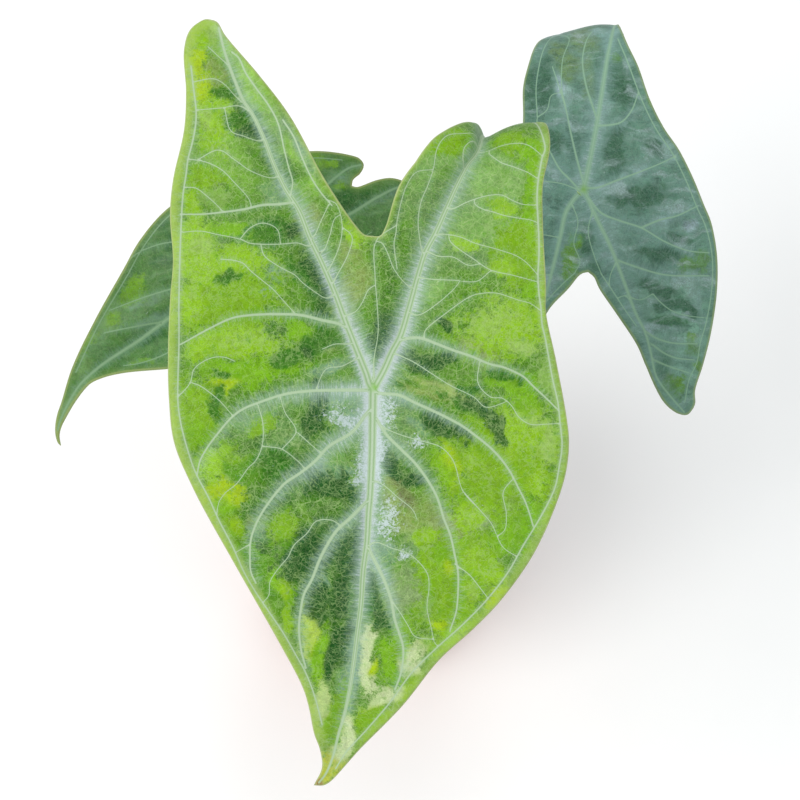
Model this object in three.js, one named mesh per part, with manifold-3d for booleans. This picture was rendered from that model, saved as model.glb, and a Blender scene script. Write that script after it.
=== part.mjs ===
// Potted variegated alocasia: a plain round pot filled with soil, a short ringed rhizome standing in it,
// and three leaves, each a petiole and an arrow-shaped blade grown as one piece.
// Millimetres, +Z up, origin at the centre of the pot's underside, the front leaf's tip towards -Y.

import * as THREE from 'three';
import { mergeVertices } from 'three/addons/utils/BufferGeometryUtils.js';
import Module from 'manifold-3d';

// Pot: straight tapering wall, a thicker rim band and four drainage holes round a solid centre
const POT_HEIGHT = 105;
const POT_RIM_RADIUS = 60;
const POT_FOOT_RADIUS = 42;
const POT_WALL = 5;
const POT_BAND_HEIGHT = 22;
const POT_BAND_STEP = 3;
const POT_SEGMENTS = 48;
const DRAIN_RADIUS = 4.5;
const DRAIN_CIRCLE = 23;
const DRAIN_COUNT = 4;

// Soil and rhizome
const SOIL_TOP = 92;
const SOIL_ROUGHNESS = 1.1;
const RHIZOME_RADIUS = 14.5;
const RHIZOME_FOOT = 62;
const RHIZOME_TOP = 112;
const FIT = 0.35;

// Leaves
const BLADE_THICKNESS = 0.9;
const BLADE_ROWS = [0, 0.07, 0.26, 0.46, 0.66, 0.85, 1];
const KEEL_DEPTH = 1.9;
const PETIOLE_FOOT_RADIUS = 4.6;
const PETIOLE_END_RADIUS = 2.6;
const PETIOLE_FOOT_HEIGHT = 100;
const PETIOLE_CIRCLE = 5.8;
const PETIOLE_END_SINK = 0.8;
const RIB_RADIUS = 0.85;
const RIB_TIP_RADIUS = 0.5;
const RIB_STEP = 6;
const QUILT_DEPTH = 1.3;
const QUILT_WIDTH = 5;

// The blades are drawn in one oblique view from above the plant's front: x to the right and y down,
// in thirds of a millimetre, with (400, 400) on the line of sight. Depth runs towards the eye, in mm.
const VIEW_UNIT = 1 / 3;
const VIEW_CENTRE = 400;
const EYE_DISTANCE = 1111;
const EYE_ELEVATION = THREE.MathUtils.degToRad(60);
const FRONT_JUNCTION = { x: 374, y: 387, place: new THREE.Vector3(4, -115, 380) };

const viewRight = new THREE.Vector3(1, 0, 0);
const viewUp = new THREE.Vector3(0, Math.sin(EYE_ELEVATION), Math.cos(EYE_ELEVATION));
const viewNear = new THREE.Vector3(0, -Math.cos(EYE_ELEVATION), Math.sin(EYE_ELEVATION));
const viewAim = FRONT_JUNCTION.place.clone()
  .addScaledVector(viewRight, (VIEW_CENTRE - FRONT_JUNCTION.x) * VIEW_UNIT)
  .addScaledVector(viewUp, (FRONT_JUNCTION.y - VIEW_CENTRE) * VIEW_UNIT);

// Carries a drawn point along its line of sight to a depth
function place(x, y, depth) {
  const spread = (1 - depth / EYE_DISTANCE) * VIEW_UNIT;
  return viewAim.clone()
    .addScaledVector(viewRight, (x - VIEW_CENTRE) * spread)
    .addScaledVector(viewUp, (VIEW_CENTRE - y) * spread)
    .addScaledVector(viewNear, depth);
}

const wasm = await Module();
wasm.setup();

// A closed geometry as a solid that can be joined and cut
function toSolid(geometry) {
  const bare = new THREE.BufferGeometry();
  bare.setAttribute('position', geometry.getAttribute('position').clone());
  bare.setIndex(geometry.getIndex());
  const merged = withoutSlivers(mergeVertices(bare, 1e-3));
  return new wasm.Manifold(new wasm.Mesh({
    numProp: 3,
    vertProperties: Float32Array.from(merged.getAttribute('position').array),
    triVerts: Uint32Array.from(merged.getIndex().array),
  }));
}

function toGeometry(solid) {
  const mesh = solid.getMesh();
  const geometry = new THREE.BufferGeometry();
  geometry.setAttribute('position', new THREE.BufferAttribute(Float32Array.from(mesh.vertProperties), 3));
  geometry.setIndex(new THREE.BufferAttribute(Uint32Array.from(mesh.triVerts), 1));
  return geometry;
}

// Drops the triangles that lost a corner where a fan of grid lines meets in one point
function withoutSlivers(geometry) {
  const corners = geometry.getIndex().array;
  const kept = [];
  for (let i = 0; i < corners.length; i += 3) {
    const [a, b, c] = [corners[i], corners[i + 1], corners[i + 2]];
    if (a !== b && b !== c && c !== a) kept.push(a, b, c);
  }
  geometry.setIndex(kept);
  return geometry;
}

function revolve(profile, segments) {
  const points = profile.map(([radius, height]) => new THREE.Vector2(radius, height));
  return new THREE.LatheGeometry(points, segments).rotateX(Math.PI / 2);
}

function upright(radius, bottom, top, sides) {
  return new THREE.CylinderGeometry(radius, radius, top - bottom, sides)
    .rotateX(Math.PI / 2)
    .translate(0, 0, (bottom + top) / 2);
}

// Pot

function wallRadius(height) {
  const share = height / POT_HEIGHT;
  return POT_FOOT_RADIUS + (POT_RIM_RADIUS - POT_BAND_STEP - POT_FOOT_RADIUS) * share;
}

function potGeometry() {
  const bandFoot = POT_HEIGHT - POT_BAND_HEIGHT;
  const body = toSolid(revolve([
    [0, 0],
    [POT_FOOT_RADIUS - 1, 0],
    [wallRadius(1), 1],
    [wallRadius(bandFoot), bandFoot],
    [POT_RIM_RADIUS - 1.5, bandFoot + 1.5],
    [POT_RIM_RADIUS, POT_HEIGHT - 1.5],
    [POT_RIM_RADIUS - 1.2, POT_HEIGHT],
    [wallRadius(POT_HEIGHT) - POT_WALL + 1, POT_HEIGHT],
    [wallRadius(POT_HEIGHT) - POT_WALL, POT_HEIGHT - 1.2],
    [wallRadius(POT_WALL) - POT_WALL, POT_WALL],
    [0, POT_WALL],
  ], POT_SEGMENTS));
  let pot = body;
  for (let i = 0; i < DRAIN_COUNT; i += 1) {
    const turn = ((i + 0.5) / DRAIN_COUNT) * 2 * Math.PI;
    const drain = upright(DRAIN_RADIUS, -1, POT_WALL + 1, 16)
      .translate(DRAIN_CIRCLE * Math.cos(turn), DRAIN_CIRCLE * Math.sin(turn), 0);
    pot = pot.subtract(toSolid(drain));
  }
  return toGeometry(pot);
}

// Soil: a plug that fills the pot, crumbly on top, with a plain hole for the rhizome

function soilGeometry() {
  const bottom = POT_WALL + FIT;
  const edge = wallRadius(SOIL_TOP) - POT_WALL - FIT;
  const plug = revolve([
    [0, bottom],
    [wallRadius(bottom) - POT_WALL - FIT, bottom],
    [edge, SOIL_TOP - 2],
    [edge - 3, SOIL_TOP - 0.8],
    [edge * 0.8, SOIL_TOP],
    [edge * 0.64, SOIL_TOP + 0.4],
    [edge * 0.48, SOIL_TOP + 0.9],
    [edge * 0.32, SOIL_TOP + 1.4],
    [0, SOIL_TOP + 1.5],
  ], POT_SEGMENTS);
  const position = plug.getAttribute('position');
  for (let i = 0; i < position.count; i += 1) {
    const [x, y, z] = [position.getX(i), position.getY(i), position.getZ(i)];
    const radius = Math.hypot(x, y);
    if (z > SOIL_TOP - 1 && radius > 1) {
      const crumb = Math.sin(0.62 * x + 1.3) * Math.cos(0.55 * y) + 0.6 * Math.sin(0.9 * y - 0.4 * x);
      position.setZ(i, z + SOIL_ROUGHNESS * crumb * 0.6);
    }
  }
  const hole = upright(RHIZOME_RADIUS + FIT, RHIZOME_FOOT - FIT, SOIL_TOP + 10, 32);
  return toGeometry(toSolid(plug).subtract(toSolid(hole)));
}

// Rhizome: a stub with ring scars, mostly buried, with one plain socket for each petiole

function petioleFoot(turn) {
  const [x, y] = [PETIOLE_CIRCLE * Math.cos(turn), PETIOLE_CIRCLE * Math.sin(turn)];
  return new THREE.Vector3(x, y, PETIOLE_FOOT_HEIGHT);
}

function rhizomeGeometry(feet) {
  const profile = [[0, RHIZOME_FOOT], [RHIZOME_RADIUS - 2, RHIZOME_FOOT], [RHIZOME_RADIUS, RHIZOME_FOOT + 4]];
  const scarStep = 3.2;
  for (let height = SOIL_TOP + 2; height < RHIZOME_TOP - 3; height += scarStep) {
    const narrowing = 0.035 * (height - SOIL_TOP) ** 1.3;
    profile.push([RHIZOME_RADIUS - narrowing, height]);
    profile.push([RHIZOME_RADIUS - 0.8 - narrowing, height + 0.55 * scarStep]);
  }
  profile.push([RHIZOME_RADIUS - 2.2, RHIZOME_TOP - 1]);
  profile.push([RHIZOME_RADIUS - 3.6, RHIZOME_TOP]);
  profile.push([0, RHIZOME_TOP]);
  let rhizome = toSolid(revolve(profile, 32));
  for (const foot of feet) {
    const socket = upright(PETIOLE_FOOT_RADIUS + FIT, PETIOLE_FOOT_HEIGHT - FIT, RHIZOME_TOP + 5, 20)
      .translate(foot.x, foot.y, 0);
    rhizome = rhizome.subtract(toSolid(socket));
  }
  return toGeometry(rhizome);
}

// Leaves: curves on the drawn plane, and the sheet that they bound

function drawnCurve(points) {
  const corners = points.map(([x, y]) => new THREE.Vector3(x, y, 0));
  return new THREE.CatmullRomCurve3(corners, false, 'centripetal');
}

// Distance in millimetres from a drawn point to the nearest of some veins
function nearestVein(x, y, veins) {
  let nearest = Infinity;
  for (const vein of veins) {
    for (let i = 1; i < vein.length; i += 1) {
      const [ax, ay] = vein[i - 1];
      const [bx, by] = vein[i];
      const [dx, dy] = [bx - ax, by - ay];
      const along = THREE.MathUtils.clamp(((x - ax) * dx + (y - ay) * dy) / (dx * dx + dy * dy), 0, 1);
      nearest = Math.min(nearest, Math.hypot(x - ax - along * dx, y - ay - along * dy));
    }
  }
  return nearest * VIEW_UNIT;
}

// Bends the drawn sheet back round a cylinder past a line, and then on straight
function rollBack(x, y, leaf) {
  const unrolled = { x, y, depth: leaf.depth(x, y), turned: 0, away: [0, -1] };
  if (!leaf.roll || x < leaf.roll.rightOf) return unrolled;
  const { line, away, radius, slope, turn } = leaf.roll;
  const past = (x - line[0]) * away[0] + (y - line[1]) * away[1];
  if (past <= 0) return unrolled;
  const turned = Math.min(past / radius, turn);
  const straight = past - turned * radius;
  const end = slope + turned;
  const reach = radius * (Math.sin(end) - Math.sin(slope)) + straight * Math.cos(end);
  const drop = radius * (Math.cos(slope) - Math.cos(end)) + straight * Math.sin(end);
  const start = [x - past * away[0], y - past * away[1]];
  return {
    x: start[0] + reach * away[0],
    y: start[1] + reach * away[1],
    depth: leaf.depth(start[0], start[1]) - drop * VIEW_UNIT,
    turned,
    away,
  };
}

// The blade's middle surface at a drawn point
function bladePoint(x, y, leaf) {
  const bent = rollBack(x, y, leaf);
  const veins = [...leaf.ribs.map((rib) => rib.points), ...leaf.sideVeins];
  const sunk = QUILT_DEPTH * Math.exp(-square(nearestVein(x, y, veins) / QUILT_WIDTH));
  const raised = leaf.relief(x, y) - sunk;
  const shift = (raised * Math.sin(bent.turned)) / VIEW_UNIT;
  const outX = bent.x + shift * bent.away[0];
  const outY = bent.y + shift * bent.away[1];
  return place(outX, outY, bent.depth + raised * Math.cos(bent.turned));
}

function bladeNormal(x, y, leaf) {
  const step = 2;
  const across = bladePoint(x + step, y, leaf).sub(bladePoint(x - step, y, leaf));
  const up = bladePoint(x, y - step, leaf).sub(bladePoint(x, y + step, leaf));
  return across.cross(up).normalize();
}

function gap(positions, i, j) {
  const corner = (k) => new THREE.Vector3().fromArray(positions, 3 * k);
  return corner(i).distanceTo(corner(j));
}

// A grid that runs from the main ribs out to the margin, one stretch of margin at a time. Each main rib
// has one set of grid points, shared by both its sides, and a keel under it that runs out at its tip.
function bladeSheet(leaf) {
  const positions = [];
  const drawnAt = [];
  const keels = [];
  const corners = [];
  const rows = BLADE_ROWS.length;
  for (const { rib, inward, margin } of leaf.stretches) {
    const inner = drawnCurve(rib.points).getSpacedPoints(rib.columns);
    const keel = inner.map((point, i) => KEEL_DEPTH * (1 - i / rib.columns) ** 0.7);
    if (inward) [inner, keel].forEach((list) => list.reverse());
    const outer = drawnCurve(margin).getSpacedPoints(rib.columns);
    const first = positions.length / 3;
    inner.forEach((point, column) => {
      BLADE_ROWS.forEach((share, row) => {
        const drawn = point.clone().lerp(outer[column], share);
        positions.push(...bladePoint(drawn.x, drawn.y, leaf).toArray());
        drawnAt.push(drawn.x, drawn.y);
        keels.push(row === 0 ? keel[column] : 0);
      });
    });
    for (let column = 0; column < rib.columns; column += 1) {
      for (let row = 0; row < rows - 1; row += 1) {
        const near = first + column * rows + row;
        const next = near + rows;
        if (gap(positions, near, next + 1) < gap(positions, near + 1, next)) {
          corners.push(near, next, next + 1, near, next + 1, near + 1);
        } else {
          corners.push(near, next, near + 1, near + 1, next, next + 1);
        }
      }
    }
  }
  const sheet = new THREE.BufferGeometry();
  sheet.setAttribute('position', new THREE.Float32BufferAttribute(positions, 3));
  sheet.setAttribute('drawn', new THREE.Float32BufferAttribute(drawnAt, 2));
  sheet.setAttribute('keel', new THREE.Float32BufferAttribute(keels, 1));
  sheet.setIndex(corners);
  const merged = withoutSlivers(mergeVertices(sheet, 0.02));
  merged.computeVertexNormals();
  return merged;
}

// The point of the split sheet, and the way it faces, at a drawn point
function sheetPoint(x, y, sheet) {
  const corners = sheet.getIndex().array;
  const at = new THREE.Vector3(x, y, 0);
  const drawnAt = sheet.getAttribute('drawn');
  const drawn = (i) => new THREE.Vector3(drawnAt.getX(i), drawnAt.getY(i), 0);
  const corner = (i) => new THREE.Vector3().fromBufferAttribute(sheet.getAttribute('position'), i);
  for (let i = 0; i < corners.length; i += 3) {
    const ids = [corners[i], corners[i + 1], corners[i + 2]];
    const shares = new THREE.Triangle(...ids.map(drawn)).getBarycoord(at, new THREE.Vector3());
    if (shares && Math.min(shares.x, shares.y, shares.z) >= -1e-6) {
      const face = new THREE.Triangle(...ids.map(corner));
      const point = new THREE.Vector3()
        .addScaledVector(face.a, shares.x)
        .addScaledVector(face.b, shares.y)
        .addScaledVector(face.c, shares.z);
      return { point, normal: face.getNormal(new THREE.Vector3()) };
    }
  }
  throw new Error(`no blade at ${x}, ${y}`);
}

// Gives the sheet its thickness, with both faces split alike and a rim round the open edge
function thicken(sheet, thickness) {
  const position = sheet.getAttribute('position');
  const normal = sheet.getAttribute('normal');
  const keel = sheet.getAttribute('keel');
  const count = position.count;
  const faces = [];
  for (const isTop of [true, false]) {
    for (let i = 0; i < count; i += 1) {
      const corner = new THREE.Vector3().fromBufferAttribute(position, i);
      const offset = isTop ? thickness / 2 : -thickness / 2 - keel.getX(i);
      corner.addScaledVector(new THREE.Vector3().fromBufferAttribute(normal, i), offset);
      faces.push(...corner.toArray());
    }
  }
  const top = sheet.getIndex().array;
  const triangles = [];
  const edges = new Set();
  for (let i = 0; i < top.length; i += 3) {
    const [a, b, c] = [top[i], top[i + 1], top[i + 2]];
    triangles.push(a, b, c, count + c, count + b, count + a);
    edges.add(`${a} ${b}`).add(`${b} ${c}`).add(`${c} ${a}`);
  }
  for (const edge of edges) {
    const [a, b] = edge.split(' ').map(Number);
    if (!edges.has(`${b} ${a}`)) triangles.push(b, a, count + a, b, count + a, count + b);
  }
  const blade = new THREE.BufferGeometry();
  blade.setAttribute('position', new THREE.Float32BufferAttribute(faces, 3));
  blade.setIndex(triangles);
  return blade;
}

// A round stalk along a curve: a capped cylinder bent onto it, with the radius given along the way
function stalk(curve, radiusAt, sides, steps) {
  const tube = new THREE.CylinderGeometry(1, 1, 1, sides, steps);
  const frames = curve.computeFrenetFrames(steps);
  const position = tube.getAttribute('position');
  for (let i = 0; i < position.count; i += 1) {
    const step = Math.round((0.5 - position.getY(i)) * steps);
    const along = step / steps;
    const radius = radiusAt(along);
    const point = curve.getPointAt(along)
      .addScaledVector(frames.normals[step], position.getX(i) * radius)
      .addScaledVector(frames.binormals[step], position.getZ(i) * radius);
    position.setXYZ(i, point.x, point.y, point.z);
  }
  return tube;
}

// A side rib: half sunk in the blade's underside, thinning outwards
function ribSolid(vein, sheet) {
  const drawn = drawnCurve(vein);
  const stops = Math.max(4, Math.round((drawn.getLength() * VIEW_UNIT) / RIB_STEP));
  const radiusAt = (along) => RIB_RADIUS + (RIB_TIP_RADIUS - RIB_RADIUS) * along;
  const path = [];
  for (let i = 0; i <= stops; i += 1) {
    const { x, y } = drawn.getPointAt(0.02 + (0.93 * i) / stops);
    const { point, normal } = sheetPoint(x, y, sheet);
    path.push(point.addScaledVector(normal, -BLADE_THICKNESS / 2 - 0.2 * radiusAt(i / stops)));
  }
  const curve = new THREE.CatmullRomCurve3(path, false, 'centripetal');
  return toSolid(stalk(curve, radiusAt, 5, stops));
}

function petioleSolid(leaf) {
  const [x, y] = leaf.junction;
  const end = bladePoint(x, y, leaf).addScaledVector(bladeNormal(x, y, leaf), -PETIOLE_END_SINK);
  const points = [leaf.foot, ...leaf.petiole.map((corner) => new THREE.Vector3(...corner)), end];
  const curve = new THREE.CatmullRomCurve3(points, false, 'centripetal');
  const radiusAt = (along) => {
    const taper = PETIOLE_FOOT_RADIUS + (PETIOLE_END_RADIUS - PETIOLE_FOOT_RADIUS) * along ** 0.8;
    return taper + 0.5 * Math.exp(-(((1 - along) / 0.03) ** 2));
  };
  return toSolid(stalk(curve, radiusAt, 10, 20));
}

function leafGeometry(leaf) {
  const sheet = bladeSheet(leaf);
  let solid = toSolid(thicken(sheet, BLADE_THICKNESS));
  for (const vein of leaf.sideVeins) solid = solid.add(ribSolid(vein, sheet));
  return toGeometry(solid.add(petioleSolid(leaf)));
}

function square(value) {
  return value * value;
}

function ramp(value, from, to) {
  return THREE.MathUtils.smoothstep(value, from, to);
}

// Front leaf: faces the eye, tip down, with the right lobe rolled back past a notch at its vein

const frontMidrib = {
  columns: 18,
  points: [
    [374, 387], [372, 440], [369, 500], [366, 550], [361, 604], [356, 641], [350, 684], [342, 721],
    [332, 757], [322, 778], [314, 785],
  ],
};
const frontLeftVein = {
  columns: 15,
  points: [
    [374, 387], [356, 348], [335, 293], [310, 238], [285, 188], [265, 141], [235, 81], [221, 36],
    [205, 18],
  ],
};
const frontRightVein = {
  columns: 18,
  points: [
    [374, 387], [400, 337], [409, 308], [425, 253], [447, 207], [466, 169], [477, 151], [484, 133],
    [490, 105], [498, 55], [508, 8],
  ],
};
const frontSideVeins = [
  [[374, 389], [337, 390], [307, 391], [280, 395], [243, 409], [219, 432], [200, 461], [197, 476]],
  [[349, 330], [322, 320], [280, 314], [232, 318], [212, 327], [180, 344]],
  [[290, 202], [245, 209], [202, 214], [179, 214]],
  [[372, 408], [352, 432], [315, 461], [285, 483], [263, 511], [251, 539], [251, 572], [258, 590]],
  [[368, 500], [337, 530], [319, 561], [304, 594], [299, 628], [305, 668]],
  [[400, 340], [421, 338], [453, 350], [503, 367], [524, 377], [558, 410]],
  [[374, 389], [399, 395], [439, 413], [475, 435], [502, 460], [525, 501], [533, 527]],
  [[374, 412], [387, 435], [415, 463], [437, 497], [450, 534], [458, 572], [456, 612], [449, 632]],
  [[433, 238], [444, 234], [475, 243], [517, 256], [539, 275]],
];

function frontDepth(x, y) {
  const up = (FRONT_JUNCTION.y - y) * VIEW_UNIT;
  const tilt = 0.27 * up;
  const hangingTip = 0.0032 * square(Math.max(0, -50 - up));
  const lobesBack = 0.0022 * square(Math.max(0, up - 60));
  return tilt - hangingTip - lobesBack;
}

function frontRelief(x, y) {
  const up = (FRONT_JUNCTION.y - y) * VIEW_UNIT;
  const fromRib = nearestVein(x, y, [frontMidrib.points, frontLeftVein.points, frontRightVein.points]);
  const trough = 0.16 * fromRib * Math.exp(-fromRib / 28) * (1 - 0.6 * ramp(up, 66, 92));
  const ripple = 1.5 * ramp(fromRib, 18, 50) * Math.sin(0.042 * y + (x < FRONT_JUNCTION.x ? 0.8 : 2.6));
  const fromLeft = nearestVein(x, y, [frontLeftVein.points]);
  const fromRight = nearestVein(x, y, [frontRightVein.points]);
  const innerLeft = x > lineX(frontLeftVein.points, y) ? fromLeft : 0;
  const innerRight = x < lineX(frontRightVein.points, y) ? fromRight : 0;
  const nearer = fromLeft < fromRight ? 0.5 * innerLeft : 0.3 * innerRight;
  const cupped = nearer * ramp(up, 48, 75) * (1 - 0.95 * ramp(up, 68, 94));
  const narrow = x < lineX(frontRightVein.points, y) ? 2.6 : 7;
  const groove = 4.2 * ramp(up, 66, 82) * Math.exp(-square(fromRight / narrow));
  return trough + ripple + cupped - groove;
}

// Where a line of points crosses a drawn height
function lineX(points, y) {
  for (let i = 1; i < points.length; i += 1) {
    const [ax, ay] = points[i - 1];
    const [bx, by] = points[i];
    if ((y - ay) * (y - by) <= 0) return ax + ((bx - ax) * (y - ay)) / (by - ay || 1);
  }
  return points[y > points[0][1] ? 0 : points.length - 1][0];
}

const frontLeaf = {
  junction: [FRONT_JUNCTION.x, FRONT_JUNCTION.y],
  foot: petioleFoot(-Math.PI / 2),
  petiole: [[0, -6.2, 130], [0.5, -15, 200], [1.8, -48, 290], [3.6, -93, 352]],
  depth: frontDepth,
  relief: frontRelief,
  sideVeins: frontSideVeins,
  ribs: [frontMidrib, frontLeftVein, frontRightVein],
  roll: { line: [500, 166], away: [0.046, -0.999], radius: 36, slope: -0.2, turn: 2.2, rightOf: 380 },
  stretches: [
    {
      rib: frontMidrib,
      inward: true,
      margin: [
        [314, 785], [322, 768], [320, 750], [314, 733], [309, 708], [303, 688], [280, 644],
        [234, 563], [192, 486], [174, 442], [169, 400],
      ],
    },
    {
      rib: frontLeftVein,
      margin: [
        [169, 400], [168, 355], [170, 300], [173, 260], [170, 215], [173, 180], [184, 130],
        [186, 92], [184, 50], [190, 30], [205, 18],
      ],
    },
    {
      rib: frontLeftVein,
      inward: true,
      margin: [
        [205, 18], [217, 22], [225, 35], [259, 75], [290, 116], [325, 180], [356, 226], [365, 235],
        [372, 236],
      ],
    },
    {
      rib: frontRightVein,
      margin: [
        [372, 236], [380, 236], [385, 228], [400, 184], [430, 146], [446, 132], [460, 118], [475, 96],
        [486, 60], [496, 25], [508, 8],
      ],
    },
    {
      rib: frontRightVein,
      inward: true,
      margin: [
        [508, 8], [522, 25], [535, 60], [544, 100], [549, 130], [550, 150], [543, 184], [543, 225],
        [546, 287], [546, 312], [556, 360], [567, 420],
      ],
    },
    {
      rib: frontMidrib,
      margin: [
        [567, 420], [569, 442], [566, 472], [554, 510], [533, 555], [501, 600], [472, 630], [439, 660],
        [403, 705], [359, 750], [344, 767], [332, 780], [324, 785], [314, 785],
      ],
    },
  ],
};

// Left leaf: lower, behind the front one, folded along its midrib, with the tip hanging to the left

const leftJunction = [262, 258];
const leftMidrib = {
  columns: 17,
  points: [
    [262, 258], [215, 288], [168, 319], [140, 340], [102, 365], [80, 385], [65, 412], [59, 443],
  ],
};
const leftUpperVein = {
  columns: 10,
  points: [[262, 258], [300, 213], [328, 184], [350, 165], [366, 165]],
};
const leftLowerVein = {
  columns: 12,
  points: [[262, 258], [305, 236], [350, 214], [378, 197], [402, 186], [420, 192], [436, 207]],
};
const leftSideVeins = [
  [[228, 280], [200, 283], [170, 289], [140, 297], [105, 316]],
  [[245, 269], [215, 255], [185, 253], [150, 262]],
  [[225, 282], [195, 318], [168, 346], [130, 364]],
];

function leftDepth(x, y) {
  const [toTipX, toTipY] = [-0.746, 0.666];
  const out = ((x - leftJunction[0]) * toTipX + (y - leftJunction[1]) * toTipY) * VIEW_UNIT;
  const hangingTip = 0.006 * square(Math.max(0, out - 55));
  const lobesBack = 0.004 * square(Math.max(0, -out));
  return -110 - 0.25 * out - hangingTip - lobesBack;
}

function leftRelief(x, y) {
  const fromRib = nearestVein(x, y, [leftMidrib.points]);
  const below = y > lineY(leftMidrib.points, x) && x < leftJunction[0] + 60;
  const rise = below ? 1.05 * fromRib * Math.exp(-fromRib / 34) : 0.22 * fromRib * Math.exp(-fromRib / 30);
  const ripple = 1.3 * ramp(fromRib, 10, 26) * Math.sin(0.06 * x + (below ? 0.5 : 2));
  return rise * ramp(leftJunction[0] + 60 - x, 0, 60) + ripple;
}

function lineY(points, x) {
  return lineX(points.map(([px, py]) => [py, px]), x);
}

const leftLeaf = {
  junction: leftJunction,
  foot: petioleFoot((5 / 6) * Math.PI),
  petiole: [[-5.6, 3, 135], [-10, 0, 200], [-22, -9, 265], [-33.5, -16, 295]],
  depth: leftDepth,
  relief: leftRelief,
  sideVeins: leftSideVeins,
  ribs: [leftMidrib, leftUpperVein, leftLowerVein],
  stretches: [
    {
      rib: leftMidrib,
      inward: true,
      margin: [
        [59, 443], [54, 428], [62, 397], [72, 368], [95, 320], [123, 270], [140, 240], [166, 210],
        [200, 188], [228, 173],
      ],
    },
    {
      rib: leftUpperVein,
      margin: [[228, 173], [260, 160], [290, 154], [315, 151], [345, 154], [361, 159], [366, 165]],
    },
    {
      rib: leftUpperVein,
      inward: true,
      margin: [[366, 165], [361, 173], [353, 180], [352, 186]],
    },
    {
      rib: leftLowerVein,
      margin: [[352, 186], [357, 187], [377, 180], [392, 178], [408, 183], [425, 193], [436, 207]],
    },
    {
      rib: leftLowerVein,
      inward: true,
      margin: [[436, 207], [430, 232], [400, 265], [360, 300], [320, 330]],
    },
    {
      rib: leftMidrib,
      margin: [
        [320, 330], [270, 352], [220, 365], [168, 369], [123, 373], [102, 378], [89, 383], [76, 398],
        [66, 413], [61, 430], [59, 443],
      ],
    },
  ],
};

// Right leaf: lower, behind the front one, tip away from the eye and rolled over, lobes towards the eye

const rightJunction = [583.6, 189.5];
const rightMidrib = {
  columns: 17,
  points: [
    [583.6, 189.5], [592, 150], [598, 117], [603, 85], [607, 58], [609, 30], [605, -10], [593, -50],
    [580, -95],
  ],
};
const rightOuterVein = {
  columns: 14,
  points: [
    [583.6, 189.5], [596, 217], [611, 248], [624, 282], [636, 314], [645, 332], [651, 354], [656, 376],
    [666, 391], [688, 417],
  ],
};
const rightInnerVein = {
  columns: 12,
  points: [
    [583.6, 189.5], [575, 198], [566, 212], [560, 238], [551, 275], [540, 315], [527, 360], [513, 405],
  ],
};
const rightSideVeins = [
  [[588, 185], [612, 181], [640, 172], [676, 155]],
  [[591, 204], [616, 220], [643, 226], [670, 223], [700, 211]],
  [[616, 257], [643, 271], [670, 276], [708, 276]],
  [[585, 186], [577, 159], [570, 130], [562, 100], [555, 79]],
  [[598, 117], [590, 100], [583, 76], [584, 55]],
];

function rightDepth(x, y) {
  const up = (rightJunction[1] - y) * VIEW_UNIT;
  return -150 - 0.45 * up - 0.0026 * square(Math.min(0, up));
}

function rightRelief(x, y) {
  const fromRib = nearestVein(x, y, [rightMidrib.points, rightOuterVein.points, rightInnerVein.points]);
  const trough = 0.2 * fromRib * Math.exp(-fromRib / 26);
  const ripple = 1.4 * ramp(fromRib, 14, 36) * Math.sin(0.05 * y + (x < rightJunction[0] ? 0.4 : 2.2));
  return trough + ripple;
}

const rightLeaf = {
  junction: rightJunction,
  foot: petioleFoot(Math.PI / 6),
  petiole: [[6, 3.4, 135], [18, 8, 190], [49, 17, 238], [74.5, 23, 268]],
  depth: rightDepth,
  relief: rightRelief,
  sideVeins: rightSideVeins,
  ribs: [rightMidrib, rightOuterVein, rightInnerVein],
  roll: { line: [588, 71], away: [-0.32, -0.947], radius: 58, slope: 0.4, turn: 1.15, rightOf: 0 },
  stretches: [
    {
      rib: rightMidrib,
      inward: true,
      margin: [
        [580, -95], [591, -60], [604, -20], [616, 15], [628, 45], [638, 66], [650, 100], [664, 128],
        [679, 150], [693, 178], [704, 205],
      ],
    },
    {
      rib: rightOuterVein,
      margin: [
        [704, 205], [711, 222], [717, 255], [717, 290], [711, 333], [703, 365], [695, 391], [695, 404],
        [688, 417],
      ],
    },
    {
      rib: rightOuterVein,
      inward: true,
      margin: [
        [688, 417], [675, 412], [663, 401], [646, 366], [637, 345], [616, 313], [599, 288], [594, 277],
        [588, 272],
      ],
    },
    {
      rib: rightInnerVein,
      margin: [[588, 272], [581, 274], [568, 289], [550, 308], [535, 335], [522, 370], [513, 405]],
    },
    {
      rib: rightInnerVein,
      inward: true,
      margin: [[513, 405], [497, 380], [492, 330], [500, 270], [512, 210], [520, 160]],
    },
    {
      rib: rightMidrib,
      margin: [
        [520, 160], [523, 119], [523, 88], [528, 60], [533, 30], [541, -5], [552, -40], [566, -75],
        [580, -95],
      ],
    },
  ],
};

// The plant, put together

const plant = new THREE.Group();

function addPiece(name, geometry, color, roughness) {
  geometry.computeVertexNormals();
  const material = new THREE.MeshStandardMaterial({ color, roughness, metalness: 0 });
  const mesh = new THREE.Mesh(geometry, material);
  mesh.name = name;
  plant.add(mesh);
}

const leaves = { leaf_front: frontLeaf, leaf_left: leftLeaf, leaf_right: rightLeaf };
const leafColors = { leaf_front: 0x86b548, leaf_left: 0x4d7d3c, leaf_right: 0x55806b };

addPiece('pot', potGeometry(), 0xb9694a, 0.85);
addPiece('soil', soilGeometry(), 0x3a2c22, 0.95);
addPiece('rhizome', rhizomeGeometry(Object.values(leaves).map((leaf) => leaf.foot)), 0x8a7350, 0.8);
for (const [name, leaf] of Object.entries(leaves)) addPiece(name, leafGeometry(leaf), leafColors[name], 0.45);

export default plant;
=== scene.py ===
import math

import bmesh
import bpy
import numpy as np
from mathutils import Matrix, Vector, kdtree, noise
from mathutils.geometry import delaunay_2d_cdt


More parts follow.
